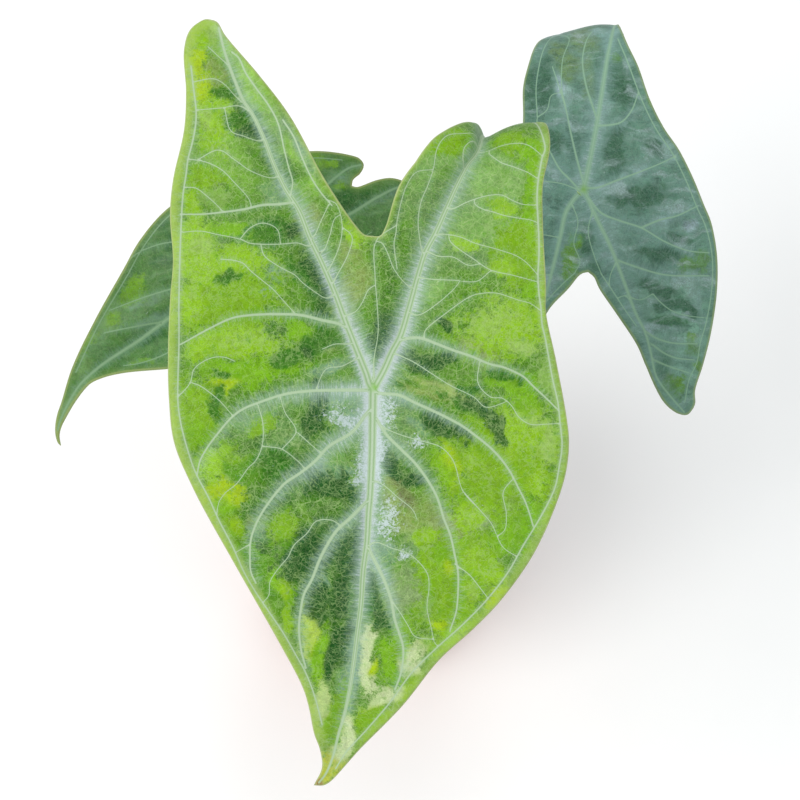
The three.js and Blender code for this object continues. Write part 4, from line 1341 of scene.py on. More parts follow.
front_secondary = [
    [(367, 390), (337, 390), (307, 391), (285, 394), (260, 402), (243, 409), (231, 418), (219, 432),
     (207, 448), (200, 461), (197, 476)],
    [(352, 334), (342, 325), (322, 320), (301, 315), (280, 314), (250, 315), (232, 318), (212, 327),
     (197, 335), (181, 344)],
    [(295, 202), (280, 204), (262, 205), (245, 209), (223, 212), (202, 214), (180, 214)],
    [(372, 408), (366, 414), (352, 432), (329, 446), (315, 461), (300, 473), (285, 483), (272, 498),
     (263, 511), (256, 524), (251, 539), (250, 557), (251, 572), (256, 583)],
    [(370, 498), (366, 502), (349, 519), (337, 530), (327, 545), (319, 561), (312, 579), (304, 594),
     (301, 608), (299, 628), (301, 649), (306, 668)],
    [(401, 340), (409, 338), (421, 338), (435, 343), (453, 350), (471, 356), (490, 364), (503, 367),
     (515, 372), (524, 377), (533, 386), (545, 397), (558, 410)],
    [(375, 391), (379, 393), (399, 395), (416, 403), (438, 413), (461, 425), (475, 435), (491, 448),
     (502, 460), (511, 473), (518, 487), (525, 501), (530, 515), (533, 526)],
    [(373, 412), (379, 423), (387, 435), (402, 450), (415, 463), (427, 479), (437, 497), (444, 519),
     (450, 534), (455, 556), (458, 572), (458, 593), (456, 612), (450, 630)],
    [(368, 546), (371, 553), (383, 577), (391, 599), (395, 620), (400, 635), (403, 646), (403, 660),
     (400, 676), (395, 689)],
]
front_secondary_looks = [
    ((0.6, 0.25), (3.6, 4.4), (0.85, 0.3)), ((0.55, 0.25), (2.0, 2.0), (0.55, 0.25)),
    ((0.5, 0.22), (1.2, 1.2), (0.35, 0.2)), ((0.62, 0.28), (3.8, 4.4), (0.85, 0.35)),
    ((0.62, 0.32), (2.6, 3.4), (0.75, 0.4)), ((0.55, 0.25), (2.4, 2.4), (0.7, 0.25)),
    ((0.55, 0.25), (2.0, 2.0), (0.7, 0.3)), ((0.55, 0.25), (2.6, 2.6), (0.65, 0.3)),
    ((0.6, 0.3), (2.8, 2.8), (0.8, 0.45)),
]
front_veins += [vein(line, *look) for line, look in zip(front_secondary, front_secondary_looks)]
front_collective = [
    [(191, 66), (192, 75), (194, 92), (196, 108), (196, 121), (194, 135), (191, 148), (188, 159), (186, 175),
     (183, 195), (181, 230), (179, 300), (179, 344), (178, 380), (178, 402), (181, 424), (188, 451),
     (195, 471), (209, 498), (219, 520), (232, 545), (244, 572), (257, 594), (268, 610), (284, 634),
     (296, 655), (306, 673), (315, 697), (322, 724)],
    [(232, 52), (239, 58), (246, 73), (257, 89), (268, 104), (276, 118), (280, 129), (284, 147), (289, 167),
     (293, 182), (291, 194)],
    [(283, 120), (294, 137), (303, 159), (312, 178), (321, 192), (332, 205)],
    [(543, 139), (545, 151), (542, 159), (540, 169), (538, 181), (537, 198), (538, 221), (539, 243),
     (539, 257), (538, 275), (539, 294), (541, 309), (542, 324), (545, 337), (552, 376), (558, 403),
     (560, 423), (562, 445), (559, 467), (555, 487), (546, 507), (534, 528), (524, 544), (508, 572),
     (488, 598), (463, 624), (436, 648), (412, 672), (390, 702), (366, 730), (346, 752), (336, 768)],
    [(503, 30), (516, 44), (526, 76), (536, 112), (543, 139)],
]
front_veins += [vein(line, *COLLECTIVE) for line in front_collective]
front_tertiary = [
    [(349, 344), (335, 344), (322, 349)], [(350, 362), (342, 366), (326, 369)],
    [(189, 159), (206, 162), (222, 170), (234, 182), (249, 199)],
    [(185, 187), (196, 188), (206, 195), (214, 202), (221, 209)],
    [(308, 246), (298, 243), (280, 244), (262, 244), (250, 243), (240, 239), (216, 234), (201, 231),
     (183, 232)],
    [(240, 239), (250, 228), (263, 223), (277, 229)], [(250, 112), (239, 106), (221, 108), (197, 110)],
    [(231, 131), (243, 136), (260, 141)], [(219, 150), (235, 160), (251, 171), (272, 178)],
    [(214, 79), (225, 85), (233, 94), (241, 102)], [(208, 47), (221, 59), (230, 67)],
    [(332, 520), (316, 521), (307, 533), (294, 545), (288, 557), (282, 564), (275, 573), (270, 582),
     (269, 595)],
    [(248, 545), (236, 552)],
    [(263, 424), (262, 446), (256, 460), (248, 468), (237, 483), (225, 493), (219, 502), (217, 513)],
    [(262, 446), (272, 447), (282, 449), (300, 463)], [(282, 449), (296, 431), (285, 412)],
    [(296, 431), (319, 451)],
    [(178, 397), (190, 383), (194, 369), (202, 362), (214, 357), (225, 357), (235, 361)],
    [(190, 382), (199, 385), (212, 394), (221, 402)],
    [(221, 259), (233, 260), (243, 263), (250, 270), (262, 280), (273, 289), (284, 301), (295, 313)],
    [(264, 255), (280, 267), (295, 275), (302, 282), (315, 292), (326, 298)],
    [(376, 241), (375, 275), (377, 303), (378, 331), (374, 359), (373, 380)],
    [(369, 289), (362, 303), (356, 311)], [(382, 243), (388, 254), (394, 269), (407, 285)],
    [(315, 235), (321, 221), (329, 204)], [(324, 250), (330, 235), (335, 218)],
    [(329, 269), (340, 244), (342, 222), (336, 203)], [(333, 283), (349, 252), (352, 236)],
    [(397, 269), (394, 243), (396, 232), (397, 221), (402, 198), (407, 184), (416, 172)],
    [(422, 251), (419, 235), (418, 219), (421, 201), (428, 184), (433, 169), (437, 151), (447, 139),
     (462, 134), (475, 129)],
    [(463, 166), (463, 151), (466, 145), (475, 136)],
    [(486, 145), (500, 143), (512, 143), (527, 146), (542, 157)],
    [(490, 151), (500, 162), (514, 167), (527, 172), (537, 178)],
    [(452, 209), (465, 203), (478, 198), (491, 195), (502, 195), (512, 200), (522, 204), (537, 205)],
    [(475, 204), (483, 209), (494, 212), (503, 215), (519, 218), (531, 220), (538, 223)],
    [(437, 235), (444, 234), (461, 237), (475, 243), (497, 249), (517, 256), (527, 263), (538, 275)],
    [(450, 241), (475, 260), (491, 270), (512, 275), (538, 282)],
    [(438, 256), (453, 257), (468, 265), (480, 264)], [(431, 279), (453, 280), (477, 281), (489, 272)],
    [(418, 315), (438, 303), (458, 284)],
    [(425, 331), (446, 313), (471, 296), (483, 293), (497, 293), (519, 300), (530, 303), (540, 310)],
    [(412, 361), (431, 373), (450, 385), (474, 397), (486, 407)],
    [(478, 383), (491, 397), (502, 398), (511, 405), (519, 417), (530, 424), (546, 424)],
    [(503, 492), (506, 512), (505, 529)],
    [(380, 425), (394, 432), (412, 438), (427, 442), (441, 447), (453, 460), (463, 491)],
    [(379, 482), (399, 498), (413, 510), (417, 519)], [(480, 510), (491, 523), (503, 547)],
    [(455, 564), (469, 574), (479, 586), (488, 598)],
    [(376, 542), (392, 548), (408, 553), (421, 564), (428, 575), (429, 588), (427, 607), (431, 627),
     (435, 643)],
    [(391, 599), (400, 612), (408, 625), (415, 636)],
]
front_veins += [vein(line, *TERTIARY) for line in led_on(front_tertiary, front_veins)]

MID, LIME, BRIGHT, YELLOW = (94, 144, 50), (160, 208, 72), (128, 190, 0), (182, 216, 36)
DARK, DEEP, SILVER, GREY = (22, 80, 24), (44, 112, 4), (130, 166, 136), (110, 150, 86)
TAN, CREAM, GRASS, OLIVE = (146, 168, 96), (224, 238, 186), (134, 186, 24), (72, 122, 42)

front_soft_patches = [
    (GREY, [
        (285, 130, 36, 30, 55), (440, 210, 50, 60, 20), (288, 440, 24, 16, 0), (217, 240, 10, 10, 0),
        (480, 250, 40, 24, 10), (300, 556, 12, 14, 0), (395, 430, 24, 40, 0), (415, 560, 20, 36, 0),
    ]),
    (TAN, [
        (217, 70, 10, 16, 0), (205, 120, 12, 14, 0), (310, 220, 14, 20, 0), (350, 285, 14, 54, 5),
        (262, 522, 16, 14, 0), (430, 393, 54, 5, 15), (410, 520, 16, 22, 0), (440, 520, 30, 26, 0),
        (393, 492, 12, 20, 0), (320, 345, 10, 8, 0), (475, 350, 24, 12, 15),
    ]),
    ((166, 188, 116), [(442, 386, 38, 4, 20), (505, 425, 13, 6, 20)]),
    ((118, 122, 80), [(404, 494, 9, 22, -25)]),
    ((124, 170, 60), [(305, 511, 12, 20, -10)]),
    ((58, 106, 40), [
        (334, 540, 24, 40, -20), (285, 480, 34, 20, -35), (322, 520, 14, 18, 0), (296, 586, 18, 26, -20),
        (255, 440, 24, 10, -20), (300, 556, 26, 34, -20), (270, 556, 12, 20, -20),
    ]),
    ((134, 182, 84), [(232, 160, 34, 40, -20), (300, 192, 16, 24, -30), (268, 120, 16, 20, -30)]),
    (SILVER, [
        (273, 190, 16, 12, 0), (275, 270, 10, 10, 0), (262, 290, 12, 8, 0), (325, 370, 22, 9, -20),
        (265, 424, 24, 14, 0), (345, 405, 24, 14, 0), (320, 580, 8, 16, -20), (330, 470, 20, 12, -30),
        (345, 602, 9, 18, 0), (345, 690, 9, 32, 10), (352, 655, 9, 30, 8), (402, 405, 16, 8, 20),
        (420, 422, 14, 8, 20), (262, 528, 12, 14, 0), (386, 440, 12, 42, 0), (384, 560, 12, 40, -8),
        (300, 150, 12, 30, -30),
    ]),
    (OLIVE, [
        (217, 192, 18, 10, 0), (262, 162, 14, 12, 0), (232, 270, 20, 10, 0), (275, 335, 24, 14, 0),
        (390, 295, 14, 34, 0), (335, 545, 16, 30, -20), (400, 470, 14, 12, 0), (450, 500, 14, 16, -20),
        (245, 112, 20, 8, 30), (290, 170, 14, 16, 0), (300, 590, 18, 30, -30), (340, 620, 12, 30, 0),
        (262, 430, 40, 12, -20), (400, 240, 10, 30, 10), (285, 510, 44, 50, -25), (345, 590, 18, 60, 0),
    ]),
    ((48, 96, 30), [
        (285, 522, 36, 40, -25), (262, 560, 18, 30, -25), (338, 592, 10, 34, 5), (310, 585, 14, 26, -10),
    ]),
    ((156, 204, 92), [
        (262, 100, 34, 12, 55), (243, 72, 18, 9, 55), (290, 150, 30, 11, 58), (225, 45, 14, 16, 0),
        (310, 185, 20, 9, 55), (200, 40, 12, 14, 0),
    ]),
    ((144, 170, 116), [(478, 512, 20, 18, 0), (405, 585, 24, 30, 0), (425, 545, 16, 16, 0)]),
    ((138, 182, 104), [
        (455, 160, 26, 34, 20), (490, 180, 34, 30, 0), (470, 225, 50, 26, 10), (430, 290, 30, 12, -20),
        (500, 240, 26, 30, 0), (425, 170, 18, 40, 25),
    ]),
    ((124, 160, 138), [(354, 670, 9, 34, 10), (342, 600, 7, 18, 0), (345, 712, 8, 16, 15)]),
]
front_lime_patches = [
    ((200, 208, 92), [(320, 775, 14, 18, 20), (332, 766, 16, 18, 30)]),
    (CREAM, [
        (368, 664, 9, 34, 2), (337, 750, 7, 18, 30), (349, 733, 8, 24, 24), (379, 702, 17, 10, -25),
        (416, 656, 12, 22, 25), (371, 640, 8, 18, 0), (398, 694, 15, 8, -40),
    ]),
    ((192, 220, 108), [(311, 630, 11, 26, 8), (282, 588, 8, 12, 0)]),
    (GRASS, [
        (205, 180, 26, 16, 0), (232, 300, 48, 50, 0), (200, 410, 22, 40, 0), (225, 452, 16, 14, 0),
        (285, 530, 16, 15, 0), (262, 425, 14, 8, 0), (375, 725, 22, 22, -30), (405, 640, 14, 24, 0),
        (455, 600, 34, 40, 30), (430, 575, 16, 34, 0), (470, 550, 36, 24, 0), (510, 138, 22, 14, 0),
        (450, 142, 22, 10, -20), (338, 712, 10, 30, 10), (520, 250, 24, 46, 0), (500, 470, 60, 60, 20),
        (410, 690, 20, 16, -40),
    ]),
    ((90, 152, 2), [
        (262, 590, 14, 26, -30), (236, 536, 14, 36, -28), (262, 566, 12, 16, -20), (240, 470, 20, 10, 5),
        (290, 545, 14, 14, 0),
    ]),
    ((142, 184, 92), [
        (500, 372, 20, 8, 20), (545, 380, 8, 20, 0), (486, 478, 14, 10, 30), (512, 500, 12, 10, 0),
        (430, 610, 10, 20, 0), (212, 196, 16, 12, 0), (230, 312, 24, 8, 0),
    ]),
    (LIME, [
        (198, 30, 16, 20, 0), (215, 120, 24, 34, -15), (198, 265, 24, 26, 0), (235, 262, 36, 18, 0),
        (195, 305, 22, 26, 0), (190, 240, 16, 26, 0), (235, 338, 46, 17, 4), (200, 350, 20, 16, 0),
        (210, 462, 18, 20, 0), (505, 205, 16, 10, 0), (505, 270, 18, 10, 0), (505, 328, 48, 32, -5),
        (522, 436, 40, 36, 0), (475, 460, 16, 15, 0), (505, 472, 32, 16, 0), (470, 512, 24, 18, 0),
        (425, 540, 18, 10, 0), (495, 578, 18, 16, -30), (354, 232, 8, 16, -35), (465, 240, 16, 8, 0),
        (286, 615, 7, 14, -20), (480, 560, 24, 22, 0), (450, 636, 24, 18, -30), (540, 480, 18, 24, 0),
        (190, 200, 12, 20, 0),
    ]),
    ((172, 208, 116), [
        (528, 418, 24, 12, 10), (505, 452, 16, 14, 0), (548, 440, 10, 30, 0), (468, 516, 10, 7, 0),
        (474, 552, 12, 16, 0), (472, 594, 10, 10, 0), (445, 600, 8, 12, 0), (495, 320, 34, 18, -10),
        (520, 345, 24, 12, 10), (198, 248, 14, 14, 0), (240, 338, 26, 9, 4), (205, 120, 10, 16, 0),
        (215, 30, 14, 12, 0), (475, 470, 9, 10, 0),
    ]),
    ((204, 226, 152), [(322, 704, 10, 30, -12)]),
    (YELLOW, [
        (195, 62, 13, 24, 0), (202, 92, 16, 18, 0), (452, 466, 14, 22, -30), (225, 490, 20, 16, 20),
        (445, 572, 10, 13, 0), (440, 628, 10, 8, 0), (235, 530, 12, 24, -30), (222, 384, 18, 8, 0),
        (500, 600, 14, 14, -40), (374, 668, 5, 12, 8),
    ]),
    (BRIGHT, [
        (240, 229, 36, 9, 6), (248, 371, 50, 17, -5), (462, 140, 14, 8, 0), (533, 200, 10, 72, 0),
        (528, 145, 16, 16, 0), (530, 292, 16, 14, 0), (515, 384, 28, 14, 20), (525, 402, 18, 12, 0),
        (280, 585, 10, 20, -30), (319, 652, 9, 32, 14), (392, 664, 10, 28, 4), (314, 662, 7, 22, 6),
        (337, 712, 6, 22, 10), (447, 468, 12, 22, -30), (508, 530, 18, 26, 30), (522, 522, 17, 32, 25),
        (222, 500, 12, 16, -20), (374, 387, 4, 4, 0), (300, 330, 14, 9, 0), (195, 430, 10, 16, 0),
        (440, 560, 8, 14, 0), (410, 655, 6, 12, 0),
    ]),
]
front_deep_patches = [
    ((164, 124, 80), [(315, 785, 6, 4, -20)]),
    (DARK, [
        (250, 137, 12, 8, 0), (385, 340, 11, 26, 0), (316, 413, 11, 30, 8), (332, 489, 26, 10, 40),
        (357, 552, 7, 28, 0), (338, 646, 9, 28, 20), (337, 472, 4, 12, 0), (420, 358, 26, 9, 15),
        (445, 325, 6, 5, 0), (450, 430, 24, 8, 30), (472, 404, 20, 6, 25), (492, 422, 16, 6, 60),
        (380, 612, 7, 24, -10), (365, 520, 5, 26, 0), (415, 480, 12, 8, 30), (331, 664, 6, 16, 15),
        (348, 556, 12, 24, -20), (325, 553, 10, 18, 20), (335, 596, 8, 24, 8), (303, 550, 14, 26, 25),
        (392, 468, 8, 20, -30), (318, 600, 8, 22, -10), (372, 588, 6, 20, 0), (500, 430, 4, 14, 0),
        (315, 283, 12, 32, -28), (290, 232, 14, 9, 10), (303, 352, 7, 9, 30),
    ]),
    (DEEP, [
        (226, 92, 8, 5, 45), (240, 121, 15, 12, 0), (272, 231, 20, 13, 0), (308, 284, 26, 9, 55),
        (315, 343, 20, 10, -30), (285, 358, 14, 9, 0), (221, 376, 5, 5, 0), (213, 402, 8, 15, 0),
        (275, 462, 18, 12, 0), (372, 602, 6, 18, 0), (500, 374, 14, 6, 20), (395, 385, 15, 4, 10),
        (258, 592, 8, 8, 0), (470, 388, 12, 5, 0), (460, 402, 22, 5, 25), (230, 275, 14, 6, 10),
    ]),
]


def front_band(x, y, rim):
    """A paler band outside the vein that runs along the margin, widest on the outer sides."""
    left = np.exp(-((from_line(x, y, front_margins["left"], 14)[0] / 3.3) ** 4)) * 0.85
    right = np.exp(-((from_line(x, y, front_margins["right"], 14)[0] / 3.2) ** 4)) * 0.6
    return np.maximum(np.maximum(left, right), np.exp(-((rim / 1.3) ** 4)) * 0.5) * smooth(y, 768, 728)


def spots(places):
    """A field that is strongest in the middle of each oval."""

    def field(x, y):
        cover = np.zeros(len(x))
        for cx, cy, rx, ry in places:
            cover = np.maximum(cover, np.exp(-(((x - cx) / rx) ** 2) - ((y - cy) / ry) ** 2))
        return cover

    return field


# Where painted glints of reflected light gather beside the front leaf's midrib, as ovals: centre x, y and two
# radii.
front_glint_spots = [
    (387, 410, 14, 22), (415, 440, 12, 10), (390, 517, 14, 22), (364, 465, 11, 40), (355, 480, 14, 16),
    (345, 414, 24, 10), (402, 554, 8, 7), (376, 455, 9, 60),
]
front_leaf = {
    "spacing": 2.7, "seed": 11, "keel": 1.5, "rounded": [(205, 18)],
    "outline": list(front_margins.values()),
    "veins": front_veins, "ribs": front_cad_ribs, "side_ribs": front_cad_side_ribs,
    "depth": front_depth, "relief": front_relief,
    "roll": {"line": (500, 166), "away": (0.046, -0.999), "radius": 36, "slope": -0.2, "turn": 2.2,
             "right_of": 380},
    "base": MID, "soft_patches": front_soft_patches, "lime_patches": front_lime_patches,
    "deep_patches": front_deep_patches, "band": front_band,
    "painted_glint": spots(front_glint_spots), "junction": FRONT_JUNCTION, "petiole_turn": -90,
    "petiole": [(0, -6.2, 130), (0.5, -15, 200), (1.8, -48, 290), (3.6, -93, 352)],
}
# The painted_glint share is the strength of the painted highlight of reflected light; the underside has none.
TOP_SIDE = {"net": 0.92, "halo": 0.96, "painted_glint": 0.85, "relief": -0.6, "wax": 0.42}
UNDER_SIDE = {"net": 0.8, "halo": 0.3, "painted_glint": 0.0, "relief": 0.8, "wax": 0.62}


def blade_looks(name, tint, under_ground):
    """The glossy top and the dull, paler underside of one blade."""
    top = leaf_material(name, tint, TOP_SIDE)
    return top, leaf_material(name + "_underside", tint, UNDER_SIDE, under_ground)


lime_tint = {
    "vivid": 1.12, "streaky": 0, "blur": 0, "groove": 0.5, "knot": (142, 200, 84),
    "cloud": (116, 168, 56), "cloudy": 0.3, "fleck": (52, 112, 24), "hair": (222, 234, 236),
    "band": (184, 214, 114), "net": (188, 216, 150), "halo": (184, 210, 194), "ribs": (194, 218, 180),
    "furrow": (132, 174, 108), "crest": (216, 232, 210), "rim": (204, 216, 156), "edge": 0.64,
}
lime_top, lime_under = blade_looks("lime_blade", lime_tint, (134, 166, 104))
lime_rib = petiole_material("lime_ribs", (186, 206, 148), (158, 186, 116), (172, 190, 130))
lime_petiole = petiole_material("lime_petiole", (168, 194, 118), (128, 164, 82), (146, 120, 96))
front_looks = (lime_top, lime_under, lime_rib)
leaf_pieces("front_leaf", front_leaf, "leaf_lime", "leaf_front", front_looks, lime_petiole)


# Left leaf: a lower leaf behind the front one, the same kind of blade in deeper greens, folded along its
# midrib, with the tip hanging out to the left and curled at the end.

left_margins = {
    "upper": [
        (60.8, 445.6), (58.2, 443), (56.3, 438), (55.3, 432), (55.5, 424), (57.4, 414), (61.5, 402),
        (72, 368), (95, 320), (123, 270), (140, 240), (166, 210), (200, 188), (228, 173), (260, 160),
        (290, 154), (315, 151), (345, 154), (361, 159), (366, 165),
    ],
    "sinus upper": [(366, 165), (361, 173), (353, 180), (352, 186)],
    "sinus lower": [(352, 186), (357, 187), (377, 180), (392, 178), (408, 183), (425, 193), (436, 207)],
    "lower": [
        (436, 207), (430, 232), (400, 265), (360, 300), (320, 330), (270, 352), (220, 365), (168, 369),
        (123, 373), (102, 378), (89, 384.5), (75, 401.5), (65.5, 418), (61.7, 426.5), (60, 432), (59.5, 437),
        (60.8, 445.6),
    ],
}
left_midrib = [(262, 258), (215, 288), (168, 319), (140, 340), (102, 365), (80, 385), (65, 412), (59, 443)]
left_cad_ribs = [
    left_midrib,
    [(262, 258), (300, 213), (328, 184), (350, 165), (366, 165)],
    [(262, 258), (305, 236), (350, 214), (378, 197), (402, 186), (420, 192), (436, 207)],
]
left_cad_side_ribs = [
    [(228, 280), (200, 283), (170, 289), (140, 297), (105, 316)],
    [(245, 269), (215, 255), (185, 253), (150, 262)],
    [(225, 282), (195, 318), (168, 346), (130, 364)],
]
LEFT_JUNCTION = (262, 258)


def left_depth(x, y):
    out = ((x - LEFT_JUNCTION[0]) * -0.746 + (y - LEFT_JUNCTION[1]) * 0.666) * VIEW_UNIT
    return -110 - 0.25 * out - 0.006 * np.maximum(0, out - 55) ** 2 - 0.004 * np.maximum(0, -out) ** 2


def left_relief(x, y):
    from_rib = nearest(x, y, [left_midrib])
    midrib_y = across_at([(b, a) for a, b in left_midrib], x)
    below = (y > midrib_y) & (x < LEFT_JUNCTION[0] + 60)
    rise = np.where(below, 1.05 * from_rib * np.exp(-from_rib / 34), 0.22 * from_rib * np.exp(-from_rib / 30))
    ripple = 1.3 * smooth(from_rib, 10, 26) * np.sin(0.06 * x + np.where(below, 0.5, 2))
    return rise * smooth(LEFT_JUNCTION[0] + 60 - x, 0, 60) + ripple


left_veins = [
    vein([(264, 257), (215, 288), (168, 319), (140, 340), (102, 365), (80, 385), (66, 408), (60, 422),
          (57.9, 430)],
         (1.1, 0.3), (2.4, 2.4), (0.85, 0.4)),
    vein([(262, 258), (300, 213), (328, 184), (349, 168), (361, 165)], (0.7, 0.3), (1.6, 1.6), (0.6, 0.4)),
    vein([(262, 258), (305, 236), (350, 214), (378, 197), (402, 187), (418, 193), (431, 204)],
         (0.7, 0.3), (1.6, 1.6), (0.6, 0.4)),
]
left_side_lines = [
    [(228, 280), (200, 283), (171, 289), (142, 298), (110, 310)],
    [(247, 267), (215, 248), (171, 242), (136, 254), (127, 263)],
    [(221, 290), (195, 325), (171, 351), (142, 363), (124, 366)],
    [(172, 317), (160, 322), (148, 324), (122, 329), (104, 333)],
    [(270, 250), (262, 220), (250, 190), (238, 172)],
    [(280, 242), (300, 262), (310, 300), (300, 336)],
]
left_veins += [vein(line, (0.34, 0.16), (2.2, 2.2), (0.55, 0.3)) for line in left_side_lines]
left_edge_lines = [
    [(76, 372), (99, 324), (127, 276), (144, 246), (168, 217), (200, 195), (229, 180), (261, 167), (290, 161),
     (315, 158), (342, 160)],
    [(426, 212), (424, 230), (394, 262), (356, 294), (318, 323), (268, 345), (219, 358), (168, 362)],
]
left_veins += [vein(line, (0.22, 0.16), (1.0, 1.0), (0.25, 0.2)) for line in left_edge_lines]
left_cross_lines = [
    [(205, 247), (205, 225), (196, 204)], [(262, 220), (290, 205), (305, 190)],
    [(300, 262), (340, 250), (372, 232)], [(195, 325), (205, 336), (208, 352)],
    [(250, 300), (255, 325), (262, 345)],
]
left_veins += [vein(line, *TERTIARY) for line in left_cross_lines]

left_soft_patches = [
    ((78, 126, 62), [(200, 260, 90, 60, -30), (330, 240, 80, 50, -20)]),
    ((104, 148, 92), [
        (185, 275, 24, 12, -10), (130, 318, 20, 8, -30), (280, 290, 30, 14, -20), (150, 345, 26, 8, -10),
        (160, 250, 20, 10, -20), (345, 170, 18, 8, 0), (395, 205, 26, 12, -20), (95, 350, 12, 10, 0),
    ]),
    ((126, 160, 134), [
        (150, 300, 26, 6, -18), (155, 318, 22, 5, -25), (205, 268, 18, 7, -10), (345, 180, 16, 5, -40),
        (390, 196, 26, 6, -25),
    ]),
    ((158, 184, 66), [(60, 426, 10, 13, 10)]),
    ((200, 190, 120), [(59, 441, 7, 8, 0)]),
    ((138, 176, 108), [(68, 405, 10, 16, 20)]),
    ((120, 162, 92), [(84, 372, 9, 26, 24), (108, 318, 8, 28, 28)]),
]
left_lime_patches = [
    ((122, 172, 50), [
        (132, 290, 15, 12, -40), (112, 322, 9, 10, 25), (208, 212, 14, 7, -20), (318, 160, 14, 8, 0),
        (240, 345, 18, 7, 0), (90, 345, 7, 10, 20), (140, 364, 14, 4, 0), (342, 188, 8, 6, 0),
    ]),
    ((138, 190, 56), [(137, 284, 10, 6, -40), (114, 318, 7, 5, 0), (332, 159, 9, 4, 0)]),
]
left_deep_patches = [
    ((52, 104, 48), [
        (150, 335, 18, 7, -35), (215, 320, 30, 16, -20), (165, 262, 14, 6, -20), (250, 215, 26, 20, 0),
        (320, 215, 26, 14, -30), (160, 225, 10, 8, 0), (190, 240, 18, 12, 0), (355, 195, 14, 8, 0),
    ]),
]


def edge_band(width, strength):
    """A paler band along the whole rim."""

    def band(x, y, rim):
        return np.exp(-((rim / width) ** 4)) * strength

    return band


left_leaf = {
    "spacing": 3.1, "seed": 23, "keel": 1.2, "rounded": [(366, 165)],
    "outline": list(left_margins.values()),
    "veins": left_veins, "ribs": left_cad_ribs, "side_ribs": left_cad_side_ribs,
    "depth": left_depth, "relief": left_relief,
    "base": (82, 130, 66), "soft_patches": left_soft_patches, "lime_patches": left_lime_patches,
    "deep_patches": left_deep_patches, "band": edge_band(1.8, 0.5), "painted_glint": spots([]),
    "junction": LEFT_JUNCTION, "petiole_turn": 150,
    "petiole": [(-5.6, 3, 135), (-10, 0, 200), (-22, -9, 265), (-33.5, -16, 295)],
}
green_tint = {
    "vivid": 1.06, "streaky": 0.3, "blur": 0.35, "groove": 0.2, "knot": (130, 180, 90),
    "cloud": (96, 148, 60), "cloudy": 0.4, "fleck": (44, 94, 36), "hair": (150, 186, 146),
    "band": (124, 158, 82), "net": (128, 162, 106), "halo": (142, 178, 154), "ribs": (146, 182, 140),
    "furrow": (110, 150, 100), "crest": (164, 196, 158), "rim": (166, 182, 116), "edge": 1.0,
}
green_top, green_under = blade_looks("green_blade", green_tint, (104, 140, 88))
green_rib = petiole_material("green_ribs", (156, 184, 122), (126, 160, 92), (150, 170, 110))
green_petiole = petiole_material("green_petiole", (150, 180, 104), (104, 144, 70), (134, 108, 84))
left_looks = (green_top, green_under, green_rib)
leaf_pieces("left_leaf", left_leaf, "leaf_green", "leaf_left", left_looks, green_petiole)


# Right leaf: another lower leaf, turned the other way, with its lobes towards the eye and the far end with
# the tip rolled over and away. Its ground is a cool grey-green, silvered between the pale veins.

right_margins = {
    "outer": [
        (580, -95), (586, -60), (596, -20), (603.5, -6.5), (611, 3.5), (616, 15), (628, 45), (638, 66),
        (650, 100), (664, 128), (679, 150), (693, 178), (704, 205), (711, 222), (717, 255), (717, 290),
        (711, 333), (703, 365), (695, 391), (695, 404), (688, 417),
    ],
    "sinus outer": [
        (688, 417), (675, 412), (663, 401), (646, 366), (637, 345), (616, 313), (599, 288), (594, 277),
        (588, 272),
    ],
    "sinus inner": [(588, 272), (581, 274), (568, 289), (550, 308), (535, 335), (522, 370), (513, 405)],
    "inner": [
        (513, 405), (497, 380), (492, 330), (500, 270), (512, 210), (520, 160), (523, 119), (523, 88),
        (528, 60), (533, 30), (541, -5), (552, -40), (566, -75), (580, -95),
    ],
}
right_cad_ribs = [
    [(583.6, 189.5), (592, 150), (598, 117), (603, 85), (607, 58), (609, 30), (605, -10), (593, -50),
     (580, -95)],
    [(583.6, 189.5), (596, 217), (611, 248), (624, 282), (636, 314), (645, 332), (651, 354), (656, 376),
     (666, 391), (688, 417)],
    [(583.6, 189.5), (575, 198), (566, 212), (560, 238), (551, 275), (540, 315), (527, 360), (513, 405)],
]
right_cad_side_ribs = [
    [(588, 185), (612, 181), (640, 172), (676, 155)],
    [(591, 204), (616, 220), (643, 226), (670, 223), (700, 211)],
    [(616, 257), (643, 271), (670, 276), (708, 276)],
    [(585, 186), (577, 159), (570, 130), (562, 100), (555, 79)],
    [(598, 117), (590, 100), (583, 76), (584, 55)],
]
RIGHT_JUNCTION = (583.6, 189.5)


def right_depth(x, y):
    up = (RIGHT_JUNCTION[1] - y) * VIEW_UNIT
    return -150 - 0.45 * up - 0.0026 * np.minimum(0, up) ** 2


def right_relief(x, y):
    from_rib = nearest(x, y, right_cad_ribs)
    trough = 0.2 * from_rib * np.exp(-from_rib / 26)
    ripple = 1.4 * smooth(from_rib, 14, 36) * np.sin(0.05 * y + np.where(x < RIGHT_JUNCTION[0], 0.4, 2.2))
    return trough + ripple


